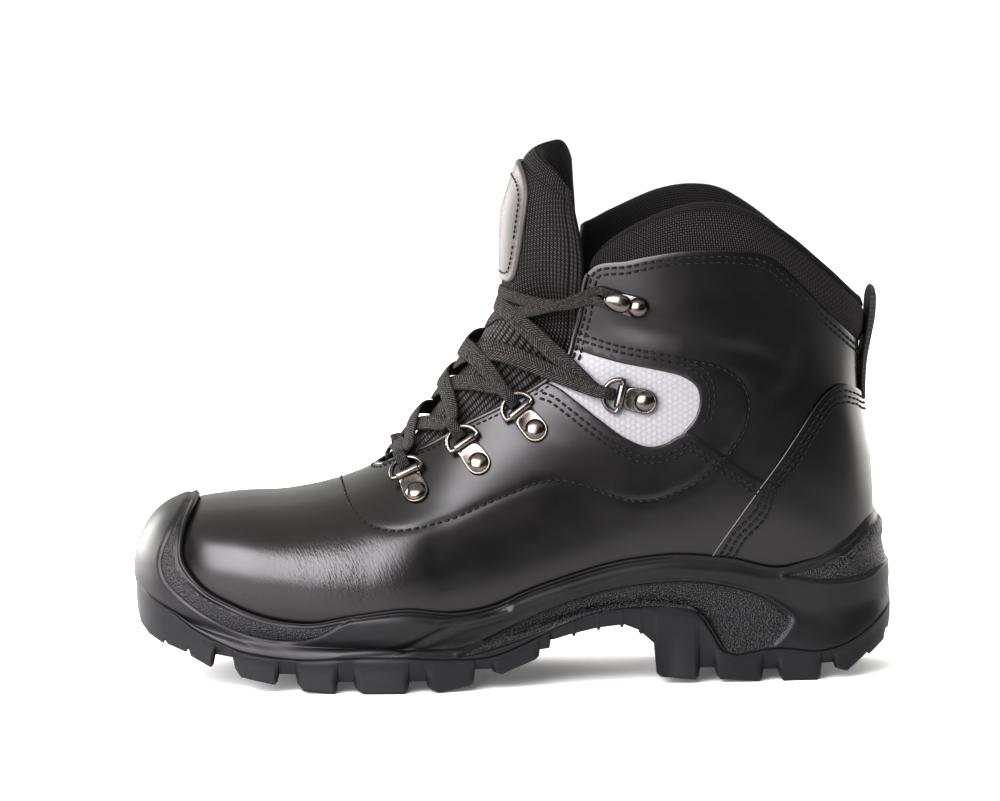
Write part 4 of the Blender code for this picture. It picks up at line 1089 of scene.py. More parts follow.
def tread_stations():
    """Places along the boot where the tread's shape changes, with more between them and at both ends."""
    edge = np.array(TREAD_EDGE)[:, 0]
    ends = 6 * np.linspace(0, 1, 9)[1:] ** 2
    low, high = SOLE_BASE[:, 0].min(), SOLE_BASE[:, 0].max()
    gaps = np.ravel(TREAD_GAPS)
    ribs = np.add.outer(ARCH_RIBS, (-0.7, -0.4, 0.4, 0.7)).ravel()
    blocks = np.ravel(MIDDLE_BLOCKS)
    found = np.concatenate([
        edge, gaps - 2.0, gaps + 2.0, ribs, blocks, blocks + 0.3, np.arange(low, high, 1.5),
        low + ends, high - ends, [low, high],
    ])
    found = np.unique(np.round(found[(found >= low) & (found <= high)], 2))
    return found[np.concatenate([[True], np.diff(found) > 0.12])]


def build_outsole():
    """The tread: a side wall with a bead under the parting line, blocks in rows, and grooves between them."""
    along = tread_stations()
    edge = np.interp(along, *np.array(TREAD_EDGE).T)
    floor = np.maximum(np.interp(along, *np.array(TREAD_FLOOR).T), edge)
    middle = floor.copy()
    for first, last in MIDDLE_BLOCKS:
        here = (along > first + 0.1) & (along <= last)
        middle[here] = np.minimum(floor, edge + 0.4)[here]
    for rib in ARCH_RIBS:
        nub = 1.1 * ramp(np.abs(along - rib), 0.72, -0.3)
        edge, middle, floor = edge - nub, middle - nub, floor - nub
    inset = np.zeros(len(along))
    for first, last in TREAD_GAPS:
        outside = np.maximum(first - along, along - last)
        inset = np.maximum(inset, 2.8 * ramp(outside, 2.0, -2.0))
    top = np.maximum(height(PARTING_LINE, along), edge + 0.3)
    tall = top - edge
    lateral, medial = (across_at(along, half) for half in across_ribs(SOLE_BASE))
    centre = (lateral + medial) / 2
    wide = np.abs(medial - lateral) / 2
    rows = []
    for share, out in TREAD_SIDE:
        up = top - share * np.maximum(tall - 1.1, 0.2)
        scoop = 1.6 * hump(along - 215, 5) * hump(up - 11, 6)
        rows.append((share, wide + out * np.clip(tall / 8, 0.2, 1) - inset * share**2 - scoop, up))
    bottom_wide = np.maximum(rows[-1][1] - 0.9, 0)
    rows.append((1.0, bottom_wide, edge + 0.15))
    for column in TREAD_COLUMNS[::-1]:
        up = edge if column > 0.42 else (middle if column < 0.25 else floor)
        rows.append((1.0, bottom_wide * column, up))
    lean = height(TREAD_LEAN, along)
    lines = []
    for side, ordered in ((LATERAL, rows), (MEDIAL, rows[-2::-1])):
        for share, out, up in ordered:
            across = side * np.maximum(out, 0)
            back = lean * share * (1 + across / np.maximum(wide, 1)) / 2
            lines.append(np.stack([along + back, centre + across, up], 1))
    make("outsole_tread", *loft(np.stack(lines, 1)), RUBBER, "tread", ("outsole",), sharp=32)


def build_insole():
    """The footbed inside the upper, with a soft edge."""
    edge = WALL[:, 0] - WALL_NORMAL[:, 0] * (wall_thickness(FOOT) + 0.6)[:, None]
    lateral, medial = across_ribs(edge)
    share = np.linspace(0, 1, 25)[None, :, None]
    plan = lateral[::3, None] * (1 - share) + medial[::3, None] * share
    base = height(FEATHER_EDGE, plan[..., 0]) + 0.3
    dish = 1.6 * np.abs(2 * share[..., 0] - 1) ** 4
    top = plan.copy()
    top[..., 2] = base + 3.4 + dish * ramp(plan[..., 0], 120, 80)
    low = plan.copy()
    low[..., 2] = base
    make("insole_footbed", *slab(top, low), FELT, "insole", ("insole",), sharp=50)


# Hardware

def seat(along, up, towards, side):
    """A fastener's place on the form: point, outward normal, direction to its ring, and sideways."""
    reach, turn = locate(along, up, side)
    here, normal = (value[0] for value in surface(chart_at(reach, side * turn)[None])[:2])
    aim = form(*locate(*towards, side), side) - here
    ahead = unit(aim - normal * (aim @ normal))
    return here, normal, ahead, np.cross(normal, ahead)


def place(local, spot):
    """Points in a fastener's frame (ahead, sideways, outward) put on the boot."""
    here, normal, ahead, sideways = spot
    local = np.asarray(local)
    return here + local[..., :1] * ahead + local[..., 1:2] * sideways + local[..., 2:] * normal


def stadium(back, front, half, square=0.55):
    """A flat outline in a fastener's frame: round behind the rivet, squarer in front."""
    angle = turns_round(PLATE_SIDES)
    x, y = np.cos(angle), np.sin(angle)
    x = np.where(x > 0, powered(x, square) * front, x * back)
    y = np.where(x > 0, powered(y, square), y) * half
    return np.stack([x, y, 0 * x], 1)


def turned(profile):
    """Rings of a turned shape about the outward axis, from (radius, up) rows."""
    angle = turns_round(RIVET_SIDES)
    circle = np.stack([np.cos(angle), np.sin(angle), 0 * angle], 1)
    return np.array([circle * radius + [0, 0, up] for radius, up in profile])


RIVET_PROFILE = (
    (3.0, -0.6), (4.1, 0.0), (4.15, 0.25), (3.8, 0.55), (3.5, 0.95), (2.9, 1.4), (2.0, 1.72), (0.9, 1.88),
    (0.05, 1.92),
)


def plate_shape():
    """A stamped plate with a turned rim, its rivet, and the neck and fold that hold the ring's bar."""
    outer = stadium(PLATE_HALF_WIDTH, PLATE_AHEAD, PLATE_HALF_WIDTH)
    rows = ((1.0, 0.0), (1.0, 0.55), (0.965, 0.85), (0.9, 0.95), (0.82, 0.82))
    plate = np.array([outer * [share, share, 1] + [0, 0, up + PLATE_LIFT] for share, up in rows])
    rivet = turned(RIVET_PROFILE) + [0, 0, PLATE_LIFT + 0.85]
    angle = turns_round(20)
    rings = []
    for y, share in ((-4.8, 0.8), (-4.6, 0.97), (-4.3, 1.0), (4.3, 1.0), (4.6, 0.97), (4.8, 0.8)):
        radius = 1.85 * share
        rings.append(np.stack([
            RING_BAR - 0.2 + radius * np.cos(angle), np.full(20, y), RING_UP + radius * np.sin(angle),
        ], 1))
    neck = np.array([(5.0, 0.0), (RING_BAR, 0.0), (RING_BAR, 1.9), (PLATE_AHEAD - 0.9, 0.8), (5.0, 0.8)])
    strip = [
        np.stack([neck[:, 0], np.full(5, y), PLATE_LIFT + neck[:, 1] * tall], 1)
        for y, tall in ((-4.7, 0.5), (-4.5, 0.95), (-4.2, 1.0), (4.2, 1.0), (4.5, 0.95), (4.7, 0.5))
    ]
    return [plate, rivet, np.array(rings), np.array(strip)]


def wire_rings(path, flat, radius):
    """Rings of a round wire along a closed path in a plane whose normal is flat."""
    ahead = unit(np.roll(path, -1, 0) - np.roll(path, 1, 0))
    side = unit(np.cross(ahead, flat))
    angle = turns_round(WIRE_SIDES)
    return path[:, None] + radius * (
        np.cos(angle)[None, :, None] * side[:, None] + np.sin(angle)[None, :, None] * flat
    )


def ring_path():
    """The wire's middle line: a half round bow and a straight bar, with rounded corners."""
    sweep = np.linspace(-0.5 * math.pi, 0.5 * math.pi, 25)
    bow = np.stack([
        RING_BAR + RING_REACH * np.cos(sweep) ** 0.85, RING_HALF_WIDTH * np.sin(sweep), np.full(25, RING_UP),
    ], 1)
    y = np.linspace(RING_HALF_WIDTH, -RING_HALF_WIDTH, 9)[1:-1]
    bar = np.stack([np.full(7, RING_BAR - 0.4), y, np.full(7, RING_UP)], 1)
    return np.concatenate([bow, bar])


def hook_shape():
    """A lace hook: a long base plate, a rivet, a neck, and the rounded hood that the lace runs under."""
    outer = stadium(5.0, 9.0, 4.3, square=0.8) + [2.0, 0, 0]
    plate = np.array([
        (outer - [4, 0, 0]) * [share, share, 1] + [4, 0, up + PLATE_LIFT]
        for share, up in ((1.0, 0.0), (1.0, 0.6), (0.96, 0.9), (0.86, 1.0))
    ])
    rivet = turned(RIVET_PROFILE) * [1.02, 1.02, 1.5] + [0, 0, PLATE_LIFT + 0.8]
    neck = turned(((2.6, 0.5), (2.2, 1.2), (2.0, 2.2), (2.4, 3.0))) * [1.3, 1, 1] + [8.2, 0, PLATE_LIFT]
    angle = turns_round(32)
    hood = []
    for lean in np.radians((-80, -62, -42, -22, 0, 20, 40, 58, 74, 86)):
        wide, up = math.cos(lean), math.sin(lean)
        pinch = 1 - 0.16 * np.cos(angle)
        hood.append(np.stack([
            8.4 + 5.4 * wide * np.cos(angle), 3.75 * wide * np.sin(angle) * pinch,
            np.full(32, PLATE_LIFT + 3.7 + 1.7 * up),
        ], 1))
    return [plate, rivet, neck, np.array(hood)]


SEATS = {
    (name, side): seat(*rivet, target, side)
    for side in SIDES.values() for name, (rivet, target) in FASTENERS.items()
}


def build_hardware():
    """On each side four riveted plates with wire rings, and a hook at the top."""
    for word, side in SIDES.items():
        for name in FASTENERS:
            spot = SEATS[name, side]
            if name == "hook":
                shape = joined([loft(place(rings, spot)) for rings in hook_shape()])
                make(f"hook_{word}", *shape, METAL, "metal", (f"lace_hook_{word}",), sharp=50)
                continue
            shape = joined([loft(place(rings, spot)) for rings in plate_shape()])
            make(f"{name}_mount_{word}", *shape, METAL, "metal", (f"{name}_plate_{word}",), sharp=50)
            rings = wire_rings(place(ring_path(), spot), spot[1], RING_WIRE)
            make(f"{name}_wire_{word}", *loft(rings, closed=True), METAL, "metal", (f"{name}_{word}",))


# Laces

LACE_WIDTH = 7.0
LACE_THICK = 1.6
FOLDED_WIDTH = 4.4
RING_WIDTH = 4.8
HOOK_WIDTH = 3.4
# Heights at which the runs cross the tongue's ridge
RIDGE_UP = {"bar_low": 94.0, "crossing_1": 103.0, "crossing_2": 118.0, "crossing_3": 130.0, "bar_top": 157.0}
TOP_CROSSING_UP = (144.0, 152.0)
SLOT_AHEAD = RING_BAR + 3.2


def ribbon(points, normal, width, thick):
    """A flat woven ribbon along points: rings, and a length and width coordinate for each of their points."""
    ahead = unit(np.gradient(points, axis=0))
    across = unit(np.cross(ahead, normal))
    face = np.cross(across, ahead)
    angle = turns_round(18)
    x = powered(np.cos(angle), 0.8)
    y = powered(np.sin(angle), 0.6)
    rings = points[:, None] + across[:, None] * (x[None, :, None] * width[:, None, None] / 2)
    rings = rings + face[:, None] * (y[None, :, None] * thick[:, None, None] / 2)
    return rings, grid_uv(travelled(points)[:, None], x[None] * LACE_WIDTH / 2)


def end_points(name, side, over):
    """Points of a lace end inside a ring or under a hook, from the slot outwards, with its normals."""
    spot = SEATS[name, side]
    lean = -side if over else side
    if name == "hook":
        local = [(5.2, 0.0, 2.6), (9.0, 2.2 * lean, 2.6), (13.5, 2.2 * lean, 2.4), (17.0, 2.0 * lean, 1.6)]
    elif over:
        local = [(SLOT_AHEAD - 0.6, 0, 1.6), (SLOT_AHEAD + 1.6, 0, 3.2), (SLOT_AHEAD + 3.7, 0, 4.2),
                 (SLOT_AHEAD + 6.8, 0, 3.4)]
    else:
        local = [(SLOT_AHEAD - 0.8, 0, 1.9), (SLOT_AHEAD + 1.6, 0, 0.9), (SLOT_AHEAD + 3.7, 0, 0.5),
                 (SLOT_AHEAD + 6.6, 0, 1.2)]
    return place(np.array(local, float), spot), spot[1]


def chart_near(point, start):
    """The chart place whose form point is nearest to a point, found by small steps from a start."""
    found = np.array(start, float)
    for _ in range(12):
        here, _, by_x, by_y = (value[0] for value in surface(found[None]))
        step = np.linalg.lstsq(np.stack([by_x, by_y], 1), point - here, rcond=None)[0]
        found = found + np.clip(step, -5, 5)
    return found


def strand(start, end, ridge_up, lift, over_start, over_end, sag=0.0):
    """One run of the lace between two fasteners, over the tongue's ridge: its middle line and normals."""
    first, first_normal = end_points(*start, over_start)
    last, last_normal = end_points(*end, over_end)
    polar = []
    for (name, side), point in ((start, first[-1]), (end, last[-1])):
        reach, turn = locate(*FASTENERS[name][1], side)
        spot = chart_near(point, chart_at(reach, side * turn))
        polar.append((np.hypot(*spot), np.arctan2(spot[1], spot[0])))
    ridge = reach_where("top_up", ridge_up, 1)
    turns = np.array([polar[0][1], 0.0, polar[1][1]])
    reaches = np.array([polar[0][0], ridge, polar[1][0]])
    order = np.argsort(turns)
    turn = turns[0] + (turns[2] - turns[0]) * np.linspace(0.1, 0.9, 30)
    reach = np.interp(turn, turns[order], reaches[order])
    reach = reach - sag * np.sin(math.pi * np.clip(np.abs(turn) / np.abs(turns[0]), 0, 1))
    points, normal = surface(chart_at(reach, turn))[:2]
    rise = 1.2 + (lift - 1.2) * hump(turn, 0.32)
    body = (points + normal * rise[:, None])[::2]
    normal = normal[::2]
    route = np.concatenate([first, body, last[::-1]])
    facing = np.concatenate([
        np.repeat(first_normal[None], len(first), 0), normal, np.repeat(last_normal[None], len(last), 0),
    ])
    fine = curve(np.concatenate([route, facing * 10], 1), spacing=0.9)
    return fine[:, :3], unit(fine[:, 3:])


def lace_widths(count, length, full, ends):
    """Width and thickness along a run: bunched in rings and hooks, folding on its way to a hook."""
    at = np.linspace(0, length, count)
    first, last = (HOOK_WIDTH if name == "hook" else RING_WIDTH for name, _ in ends)
    ease = min(26.0, 0.4 * length)
    crosses_to_hook = first > last
    fold = 0.62 * length if crosses_to_hook else ease
    places = [0, 6, ease, length - fold, length - 6, length]
    width = smooth(at, places, [first, first, full, full, last, last])
    return width, LACE_THICK * smooth(at, places, [1.1, 1.1, 1, 1, 1.1, 1.1])


def build_laces():
    """The lace in its runs: a bar at the lowest rings, crossings between the pairs, a bar at the hooks."""
    names = list(FASTENERS)
    runs = {
        "bar_low": [((names[0], LATERAL), (names[0], MEDIAL), RIDGE_UP["bar_low"], 2.4, True, True)],
        "bar_top": [((names[-1], LATERAL), (names[-1], MEDIAL), RIDGE_UP["bar_top"], 1.8, True, True, 9.0)],
    }
    for number, (low, high) in enumerate(zip(names[:4], names[1:4]), 1):
        up = RIDGE_UP[f"crossing_{number}"]
        runs[f"crossing_{number}"] = [
            ((low, MEDIAL), (high, LATERAL), up - 3.5, 3.4, False, True),
            ((low, LATERAL), (high, MEDIAL), up + 2.0, 5.2, False, True),
        ]
    runs["crossing_4"] = [
        ((names[3], MEDIAL), (names[4], LATERAL), TOP_CROSSING_UP[0], 1.2, False, False),
        ((names[3], LATERAL), (names[4], MEDIAL), TOP_CROSSING_UP[1], 1.8, False, False),
    ]
    for name, rows in runs.items():
        full = FOLDED_WIDTH if name == "bar_top" else LACE_WIDTH
        shapes = []
        uvs = []
        for row in rows:
            points, normal = strand(*row)
            length = travelled(points)[-1]
            rings, uv = ribbon(points, normal, *lace_widths(len(points), length, full, row[:2]))
            shapes.append(loft(rings))
            uvs.append(uv)
        make(f"cord_{name}", *joined(shapes), CORD, "lace", (f"lace_{name}",), uv=np.concatenate(uvs))


# The pull loop: half its width, then in the side view the middle of the folded strap and its thickness

PULL_LOOP_HALF_WIDTH = 9.0
PULL_LOOP_LINE = (
    (298.0, 112.0, 2.0), (298.0, 118.0, 2.1), (298.6, 128.0, 2.3), (300.1, 137.5, 2.8), (301.4, 146.0, 3.4),
    (301.8, 152.0, 3.4), (302.0, 155.6, 2.8), (302.1, 157.6, 1.6), (302.1, 158.3, 0.3),
)


def build_pull_loop():
    """The pull loop: a strap folded on itself, sewn up the back and standing behind the collar."""
    line = curve(PULL_LOOP_LINE, spacing=0.7)
    path = line[:, :2]
    ahead = unit(np.gradient(path, axis=0))
    sideways = np.stack([ahead[:, 1], -ahead[:, 0]], 1)
    angle = turns_round(64)
    narrow = np.clip((158.6 - path[:, 1]) / 5, 0.05, 1) ** 0.35
    x = powered(np.cos(angle), 0.3)[None] * PULL_LOOP_HALF_WIDTH * narrow[:, None]
    y = powered(np.sin(angle), 0.5) / 2
    fold = 1 - 0.22 * hump(np.sin(angle), 0.3)
    moved = path[:, None] + sideways[:, None] * (y * fold)[None, :, None] * line[:, 2][:, None, None]
    rings = np.stack([moved[..., 0], x, moved[..., 1]], -1)
    uv = grid_uv(x, travelled(path)[:, None])
    make("pull_strap", *loft(rings), WEBBING, "leather", ("pull_loop",), uv=uv)


def throat_edge(limit):
    """Chart places of the leather's top edge round the throat, up to a place of the ribs' feet."""
    order = np.roll(np.arange(len(FOOT)), -HALF_RIBS)
    return full_loop("top")[order[FOOT[order] < limit]]


def build_binding():
    """The thin folded binding along the throat's edge, round its foot."""
    points, normal = surface(spaced(throat_edge(181), 0.8))[:2]
    width, thick = (np.full(len(points), size) for size in (2.0, 2.9))
    rings, uv = ribbon(points + normal * (VAMP_LIFT - 0.75), normal, width, thick)
    shape = loft(rings)
    make("throat_binding", *shape, LEATHER, "leather", uv=uv, marks={"flex": no_flex(shape[0])})


# Stitches

# Rings of one stitch: share of its length from its middle, share of its radius, and rise
STITCH_RINGS = (
    (-0.5, 0.45, -0.34), (-0.36, 0.9, 0.02), (-0.12, 1.0, 0.14), (0.12, 1.0, 0.14), (0.36, 0.9, 0.02),
    (0.5, 0.45, -0.34),
)


def stitches(points, normal, ahead, length, radius):
    """Short threads lying on a surface, each sunk at its ends."""
    across = np.cross(normal, ahead)
    angle = turns_round(6)
    parts = []
    for here, out, run, side in zip(points, normal, ahead, across):
        rings = []
        for along, share, rise in STITCH_RINGS:
            circle = np.cos(angle)[:, None] * side + np.sin(angle)[:, None] * out
            rings.append(here + run * along * length + out * rise + circle * radius * share)
        parts.append(loft(np.array(rings)))
    return parts


def sewn(chart, lift, pitch=3.1, length=2.5, radius=0.42, relief=None):
    """A row of stitches along a chart line."""
    marks = spaced(chart, pitch / 2)
    points, normal = surface(marks)[:2]
    ahead = unit(np.gradient(points, axis=0))
    rise = lift + (relief(points) if relief else 0.0) + np.zeros(len(points))
    return stitches((points + normal * rise[:, None])[1::2], normal[1::2], ahead[1::2], length, radius)


def outside_of(chart, outline_points):
    """The longest run of a chart line that lies outside a side-view outline."""
    good = signed_distance(on_form(chart)[:, [0, 2]], outline_points) <= 0
    runs = np.flatnonzero(np.diff(np.concatenate([[0], good.astype(int), [0]]))).reshape(-1, 2)
    first, last = runs[np.argmax(runs[:, 1] - runs[:, 0])]
    return chart[first:last]


def rows_beside(chart, distances):
    """Chart lines at distances to the left of a chart line."""
    return [shifted(spaced(chart, 1.0), distance) for distance in distances]


def build_stitches():
    """Thread along every seam of the leather."""
    parts = []
    seam = {"radius": 0.5, "relief": leather_relief}
    for row in rows_beside(full_loop("top")[FOOT > 150], (-2.0, -4.4)):
        parts += sewn(row, ANKLE_LIFT, **seam)
    for row in rows_beside(throat_edge(138), (-2.4,)):
        parts += sewn(row, VAMP_LIFT, pitch=2.6, length=2.1, radius=0.36)
    parts += sewn(SEWN_LINE, VAMP_LIFT, pitch=3.2, **seam)
    for left, low, high in zip((1, -1), both_sides(VAMP_TOP[1:15]), both_sides(ANKLE_FOOT[1:9])):
        for row in rows_beside(low, (-3.6 * left, -6.0 * left)):
            parts += sewn(outside_of(row, COUNTER_OUTLINE), VAMP_LIFT, **seam)
        for row in rows_beside(high, (3.6 * left, 6.0 * left)):
            parts += sewn(row, ANKLE_LIFT, **seam)
    counter_edge = [*COUNTER_EDGE[1:10], (295.4, 115.4)]
    for row in rows_beside(over_middle(counter_edge[::-1]), (-2.2, -4.6, -7.0)):
        parts += sewn(row, COUNTER_LIFT)
    make("seam_stitches", *joined(parts), THREAD, "leather", tidy=False)


# Materials

class Finish:
    """A procedural material being built around one Principled shader."""

    def __init__(self, name, colour, roughness, metallic=0.0, specular=0.5):
        self.made = bpy.data.materials.new(name)
        self.made.use_nodes = True
        self.tree = self.made.node_tree
        self.shader = self.tree.nodes["Principled BSDF"]
        self.shader.inputs["Base Color"].default_value = (*colour, 1.0)
        self.shader.inputs["Roughness"].default_value = roughness
        self.shader.inputs["Metallic"].default_value = metallic
        self.shader.inputs["Specular IOR Level"].default_value = specular
        self.height = None

    def node(self, kind, values=None, **settings):
        """A node with its settings, and its inputs set or linked by name or number."""
        made = self.tree.nodes.new(kind)
        for key, value in settings.items():
            setattr(made, key, value)
        for key, value in (values or {}).items():
            if isinstance(value, bpy.types.NodeSocket):
                self.tree.links.new(value, made.inputs[key])
            else:
                made.inputs[key].default_value = value
        return made

    def math(self, operation, first, second=0.0, third=0.0):
        """The result of one arithmetic step."""
        return self.node("ShaderNodeMath", {0: first, 1: second, 2: third}, operation=operation).outputs[0]

    def place(self, kind="Object"):
        """Coordinates of a kind."""
        return self.node("ShaderNodeTexCoord").outputs[kind]

    def mark(self, name):
        """A value that the mesh carries at its points."""
        return self.node("ShaderNodeAttribute", attribute_name=name).outputs["Fac"]

    def noise(self, scale, detail=3.0, vector=None):
        """Cloudy noise from 0 to 1."""
        values = {"Scale": scale, "Detail": detail, "Roughness": 0.55, "Vector": vector or self.place()}
        return self.node("ShaderNodeTexNoise", values).outputs["Fac"]

    def cells(self, scale):
        """Distance from the nearest of many scattered points."""
        values = {"Scale": scale, "Vector": self.place()}
        return self.node("ShaderNodeTexVoronoi", values, feature="F1").outputs["Distance"]

    def ripple(self, value, pitch):
        """Rounded ribs a pitch apart, from 0 to 1."""
        return self.math("ABSOLUTE", self.math("SINE", self.math("MULTIPLY", value, math.pi / pitch)))

    def mapped(self, value, low, high, to_low, to_high):
        """A value carried from one range to another."""
        return self.node("ShaderNodeMapRange", {
            "Value": value, "From Min": low, "From Max": high, "To Min": to_low, "To Max": to_high,
        }).outputs["Result"]

    def colour(self, share, first, second):
        """The base colour, mixed from two by a share."""
        mixed = self.node("ShaderNodeMix", {0: share, 6: (*first, 1.0), 7: (*second, 1.0)}, data_type="RGBA")
        self.link(mixed.outputs[2], "Base Color")

    def link(self, value, socket):
        """Feeds a value to the shader."""
        self.tree.links.new(value, self.shader.inputs[socket])

    def bump(self, value, depth):
        """Adds relief of a depth in millimetres."""
        values = {"Height": value, "Distance": depth * MM, "Strength": 1.0}
        if self.height is not None:
            values["Normal"] = self.height
        self.height = self.node("ShaderNodeBump", values).outputs["Normal"]
        self.link(self.height, "Normal")

    def woven(self, pitch_u, pitch_v):
        """A plain weave's height from the UV map in millimetres, from 0 to 1."""
        split = self.node("ShaderNodeSeparateXYZ", {0: self.place("UV")})
        u = self.math("MULTIPLY", split.outputs["X"], 1 / pitch_u)
        v = self.math("MULTIPLY", split.outputs["Y"], 1 / pitch_v)
        parity = self.math("MODULO", self.math("ADD", self.math("FLOOR", u), self.math("FLOOR", v)), 2.0)
        parity = self.math("ABSOLUTE", parity)
        warp = self.ripple(u, 1.0)
        weft = self.ripple(v, 1.0)
        over = self.math("MULTIPLY", warp, self.math("POWER", weft, 0.5))
        under = self.math("MULTIPLY", weft, self.math("POWER", warp, 0.5))
        under = self.math("MULTIPLY", under, 0.75)
        mixed = self.node("ShaderNodeMix", {0: parity, 2: over, 3: under}, data_type="FLOAT")
        return mixed.outputs[0]


def leather_finish():
    """Smooth black leather: faint slanting wrinkles where it flexes, and a grain in its soft uneven gloss."""
    f = Finish("black leather", (0.005, 0.0045, 0.0042), 0.3, specular=0.7)
    broad = f.noise(60.0, 4.0)
    gloss = f.mapped(broad, 0.3, 0.7, 0.265, 0.315)
    f.link(f.math("MULTIPLY_ADD", f.cells(900.0), 0.03, gloss), "Roughness")
    f.colour(broad, (0.0035, 0.0032, 0.003), (0.006, 0.0054, 0.005))
    slant = f.node("ShaderNodeMapping", {
        "Vector": f.place(), "Rotation": (0.0, math.radians(-24), 0.0), "Scale": (1.0, 2.0, 4.5),
    }, vector_type="TEXTURE").outputs["Vector"]
    wrinkle = f.noise(1250.0, 2.0, slant)
    f.bump(f.math("MULTIPLY", wrinkle, f.mark("flex")), 0.2)
    return f.made


def badge_finish():
    """Warm grey moulded badge with a soft sheen."""
    f = Finish("grey badge", (0.09, 0.084, 0.08), 0.45, specular=0.4)
    broad = f.noise(90.0, 3.0)
    f.colour(broad, (0.055, 0.051, 0.048), (0.08, 0.075, 0.071))
    f.bump(f.noise(1300.0, 2.0), 0.03)
    return f.made


def weave_finish():
    """Coarse black ballistic weave, a smoother knit where it turns in, and cross ribs low on the tongue."""
    f = Finish("coarse textile", (0.008, 0.008, 0.008), 0.75, specular=0.25)
    coarse = f.woven(1.0, 0.9)
    knit = f.woven(0.7, 0.9)
    ribs = f.woven(2.2, 1.1)
    lining = f.mark("lining")
    ribbed = f.mark("ribbed")
    outside = f.math("MULTIPLY", coarse, f.math("SUBTRACT", 1.0, lining))
    inside = f.math("SUBTRACT", lining, ribbed)
    bright = f.math("MULTIPLY_ADD", f.math("MULTIPLY", knit, 0.75), inside, outside)
    bright = f.math("MULTIPLY_ADD", f.math("MULTIPLY", ribs, 1.3), ribbed, bright)
    f.colour(f.mapped(bright, 0.3, 1.0, 0.0, 1.0), (0.003, 0.003, 0.003), (0.088, 0.083, 0.081))
    f.bump(outside, 0.5)
    f.bump(f.math("MULTIPLY_ADD", ribs, ribbed, f.math("MULTIPLY", knit, inside)), 0.16)
    f.bump(f.noise(900.0, 2.0), 0.05)
    return f.made


def lining_finish():
    """Fine knitted lining."""
    f = Finish("knit lining", (0.014, 0.014, 0.015), 0.85, specular=0.3)
    knit = f.woven(1.1, 1.4)
    f.colour(knit, (0.03, 0.03, 0.031), (0.1, 0.1, 0.102))
    f.bump(knit, 0.25)
    return f.made


def reflective_finish():
    """Pale reflective fabric with small round dots in a close hexagonal array."""
    f = Finish("pale reflective fabric", (0.3, 0.3, 0.31), 0.42, specular=0.4)
    split = f.node("ShaderNodeSeparateXYZ", {0: f.place("UV")})
    pitch = 2.4
    wave = 4 * math.pi / (math.sqrt(3) * pitch)
    total = None
    for turn in (0, 60, 120):
        along = f.math("MULTIPLY", split.outputs["X"], wave * math.cos(math.radians(turn)))
        phase = f.math("MULTIPLY_ADD", split.outputs["Y"], wave * math.sin(math.radians(turn)), along)
        ripple = f.math("COSINE", phase)
        total = ripple if total is None else f.math("ADD", total, ripple)
    dots = f.mapped(total, -1.2, 1.4, 0.0, 1.0)
    f.colour(dots, (0.22, 0.223, 0.228), (0.25, 0.252, 0.254))
    f.bump(dots, 0.06)
    f.bump(f.noise(1200.0, 2.0), 0.03)
    return f.made


def sole_finish():
    """Charcoal moulded midsole: satin and smooth, stippled inside its bands, with painted highlights on the
    dot tops.
    """
    f = Finish("moulded midsole", (0.008, 0.008, 0.0088), 0.42, specular=0.45)
    stipple = f.mark("stipple")
    dots = f.mapped(f.cells(1250.0), 0.1, 0.62, 1.0, 0.0)
    broad = f.noise(40.0, 4.0)
    f.link(f.mapped(broad, 0.3, 0.7, 0.36, 0.46), "Roughness")
    # The stipple dots are real relief, and their tops are also painted lighter in the colour: a painted
    # highlight.
    stipple_relief_and_painted_glint = f.math("MULTIPLY", dots, stipple)
    f.colour(f.math("MULTIPLY_ADD", broad, 0.25, stipple_relief_and_painted_glint), (0.0062, 0.0063, 0.0069), (0.05, 0.0502, 0.051))
    f.bump(stipple_relief_and_painted_glint, 0.42)
    f.bump(f.noise(700.0, 2.0), 0.025)
    return f.made


def rubber_finish():
    """Tread rubber with fine mould texture."""
    f = Finish("tread rubber", (0.015, 0.0152, 0.0165), 0.5, specular=0.35)
    broad = f.noise(50.0, 4.0)
    f.link(f.mapped(broad, 0.3, 0.7, 0.44, 0.56), "Roughness")
    f.colour(broad, (0.012, 0.0122, 0.0132), (0.019, 0.0193, 0.021))
    f.bump(f.noise(900.0, 3.0), 0.05)
    return f.made


def felt_finish():
    """Dark felt of the footbed."""
    f = Finish("footbed felt", (0.03, 0.03, 0.032), 0.9, specular=0.2)
    fibre = f.noise(1500.0, 4.0)
    f.colour(fibre, (0.016, 0.016, 0.018), (0.05, 0.05, 0.054))
    f.bump(fibre, 0.3)
    return f.made


def metal_finish():
    """Gunmetal plating with faint wear."""
    f = Finish("gunmetal plating", (0.17, 0.155, 0.14), 0.24, metallic=1.0)
    wear = f.noise(260.0, 4.0)
    f.link(f.mapped(wear, 0.3, 0.75, 0.16, 0.36), "Roughness")
    f.colour(wear, (0.09, 0.083, 0.075), (0.2, 0.186, 0.17))
    f.bump(f.noise(1800.0, 2.0), 0.012)
    return f.made


def cord_finish():
    """Flat braided lace: speckled ribs in chevrons that meet along its middle."""
    f = Finish("braided lace", (0.026, 0.025, 0.023), 0.8, specular=0.3)
    split = f.node("ShaderNodeSeparateXYZ", {0: f.place("UV")})
    lean = f.math("ABSOLUTE", split.outputs["Y"])
    along = f.math("ADD", split.outputs["X"], f.math("MULTIPLY", lean, 0.9))
    rib = f.math("POWER", f.ripple(along, 1.25), 1.2)
    braid = f.math("MULTIPLY", rib, f.mapped(f.ripple(lean, 1.1), 0.0, 1.0, 0.4, 1.0))
    speckle = f.mapped(f.noise(1000.0, 2.0), 0.36, 0.64, 0.35, 1.0)
    f.colour(f.math("MULTIPLY", braid, speckle), (0.002, 0.0019, 0.0017), (0.125, 0.118, 0.108))
    f.bump(braid, 0.45)
    f.bump(f.noise(1400.0, 2.0), 0.06)
    return f.made


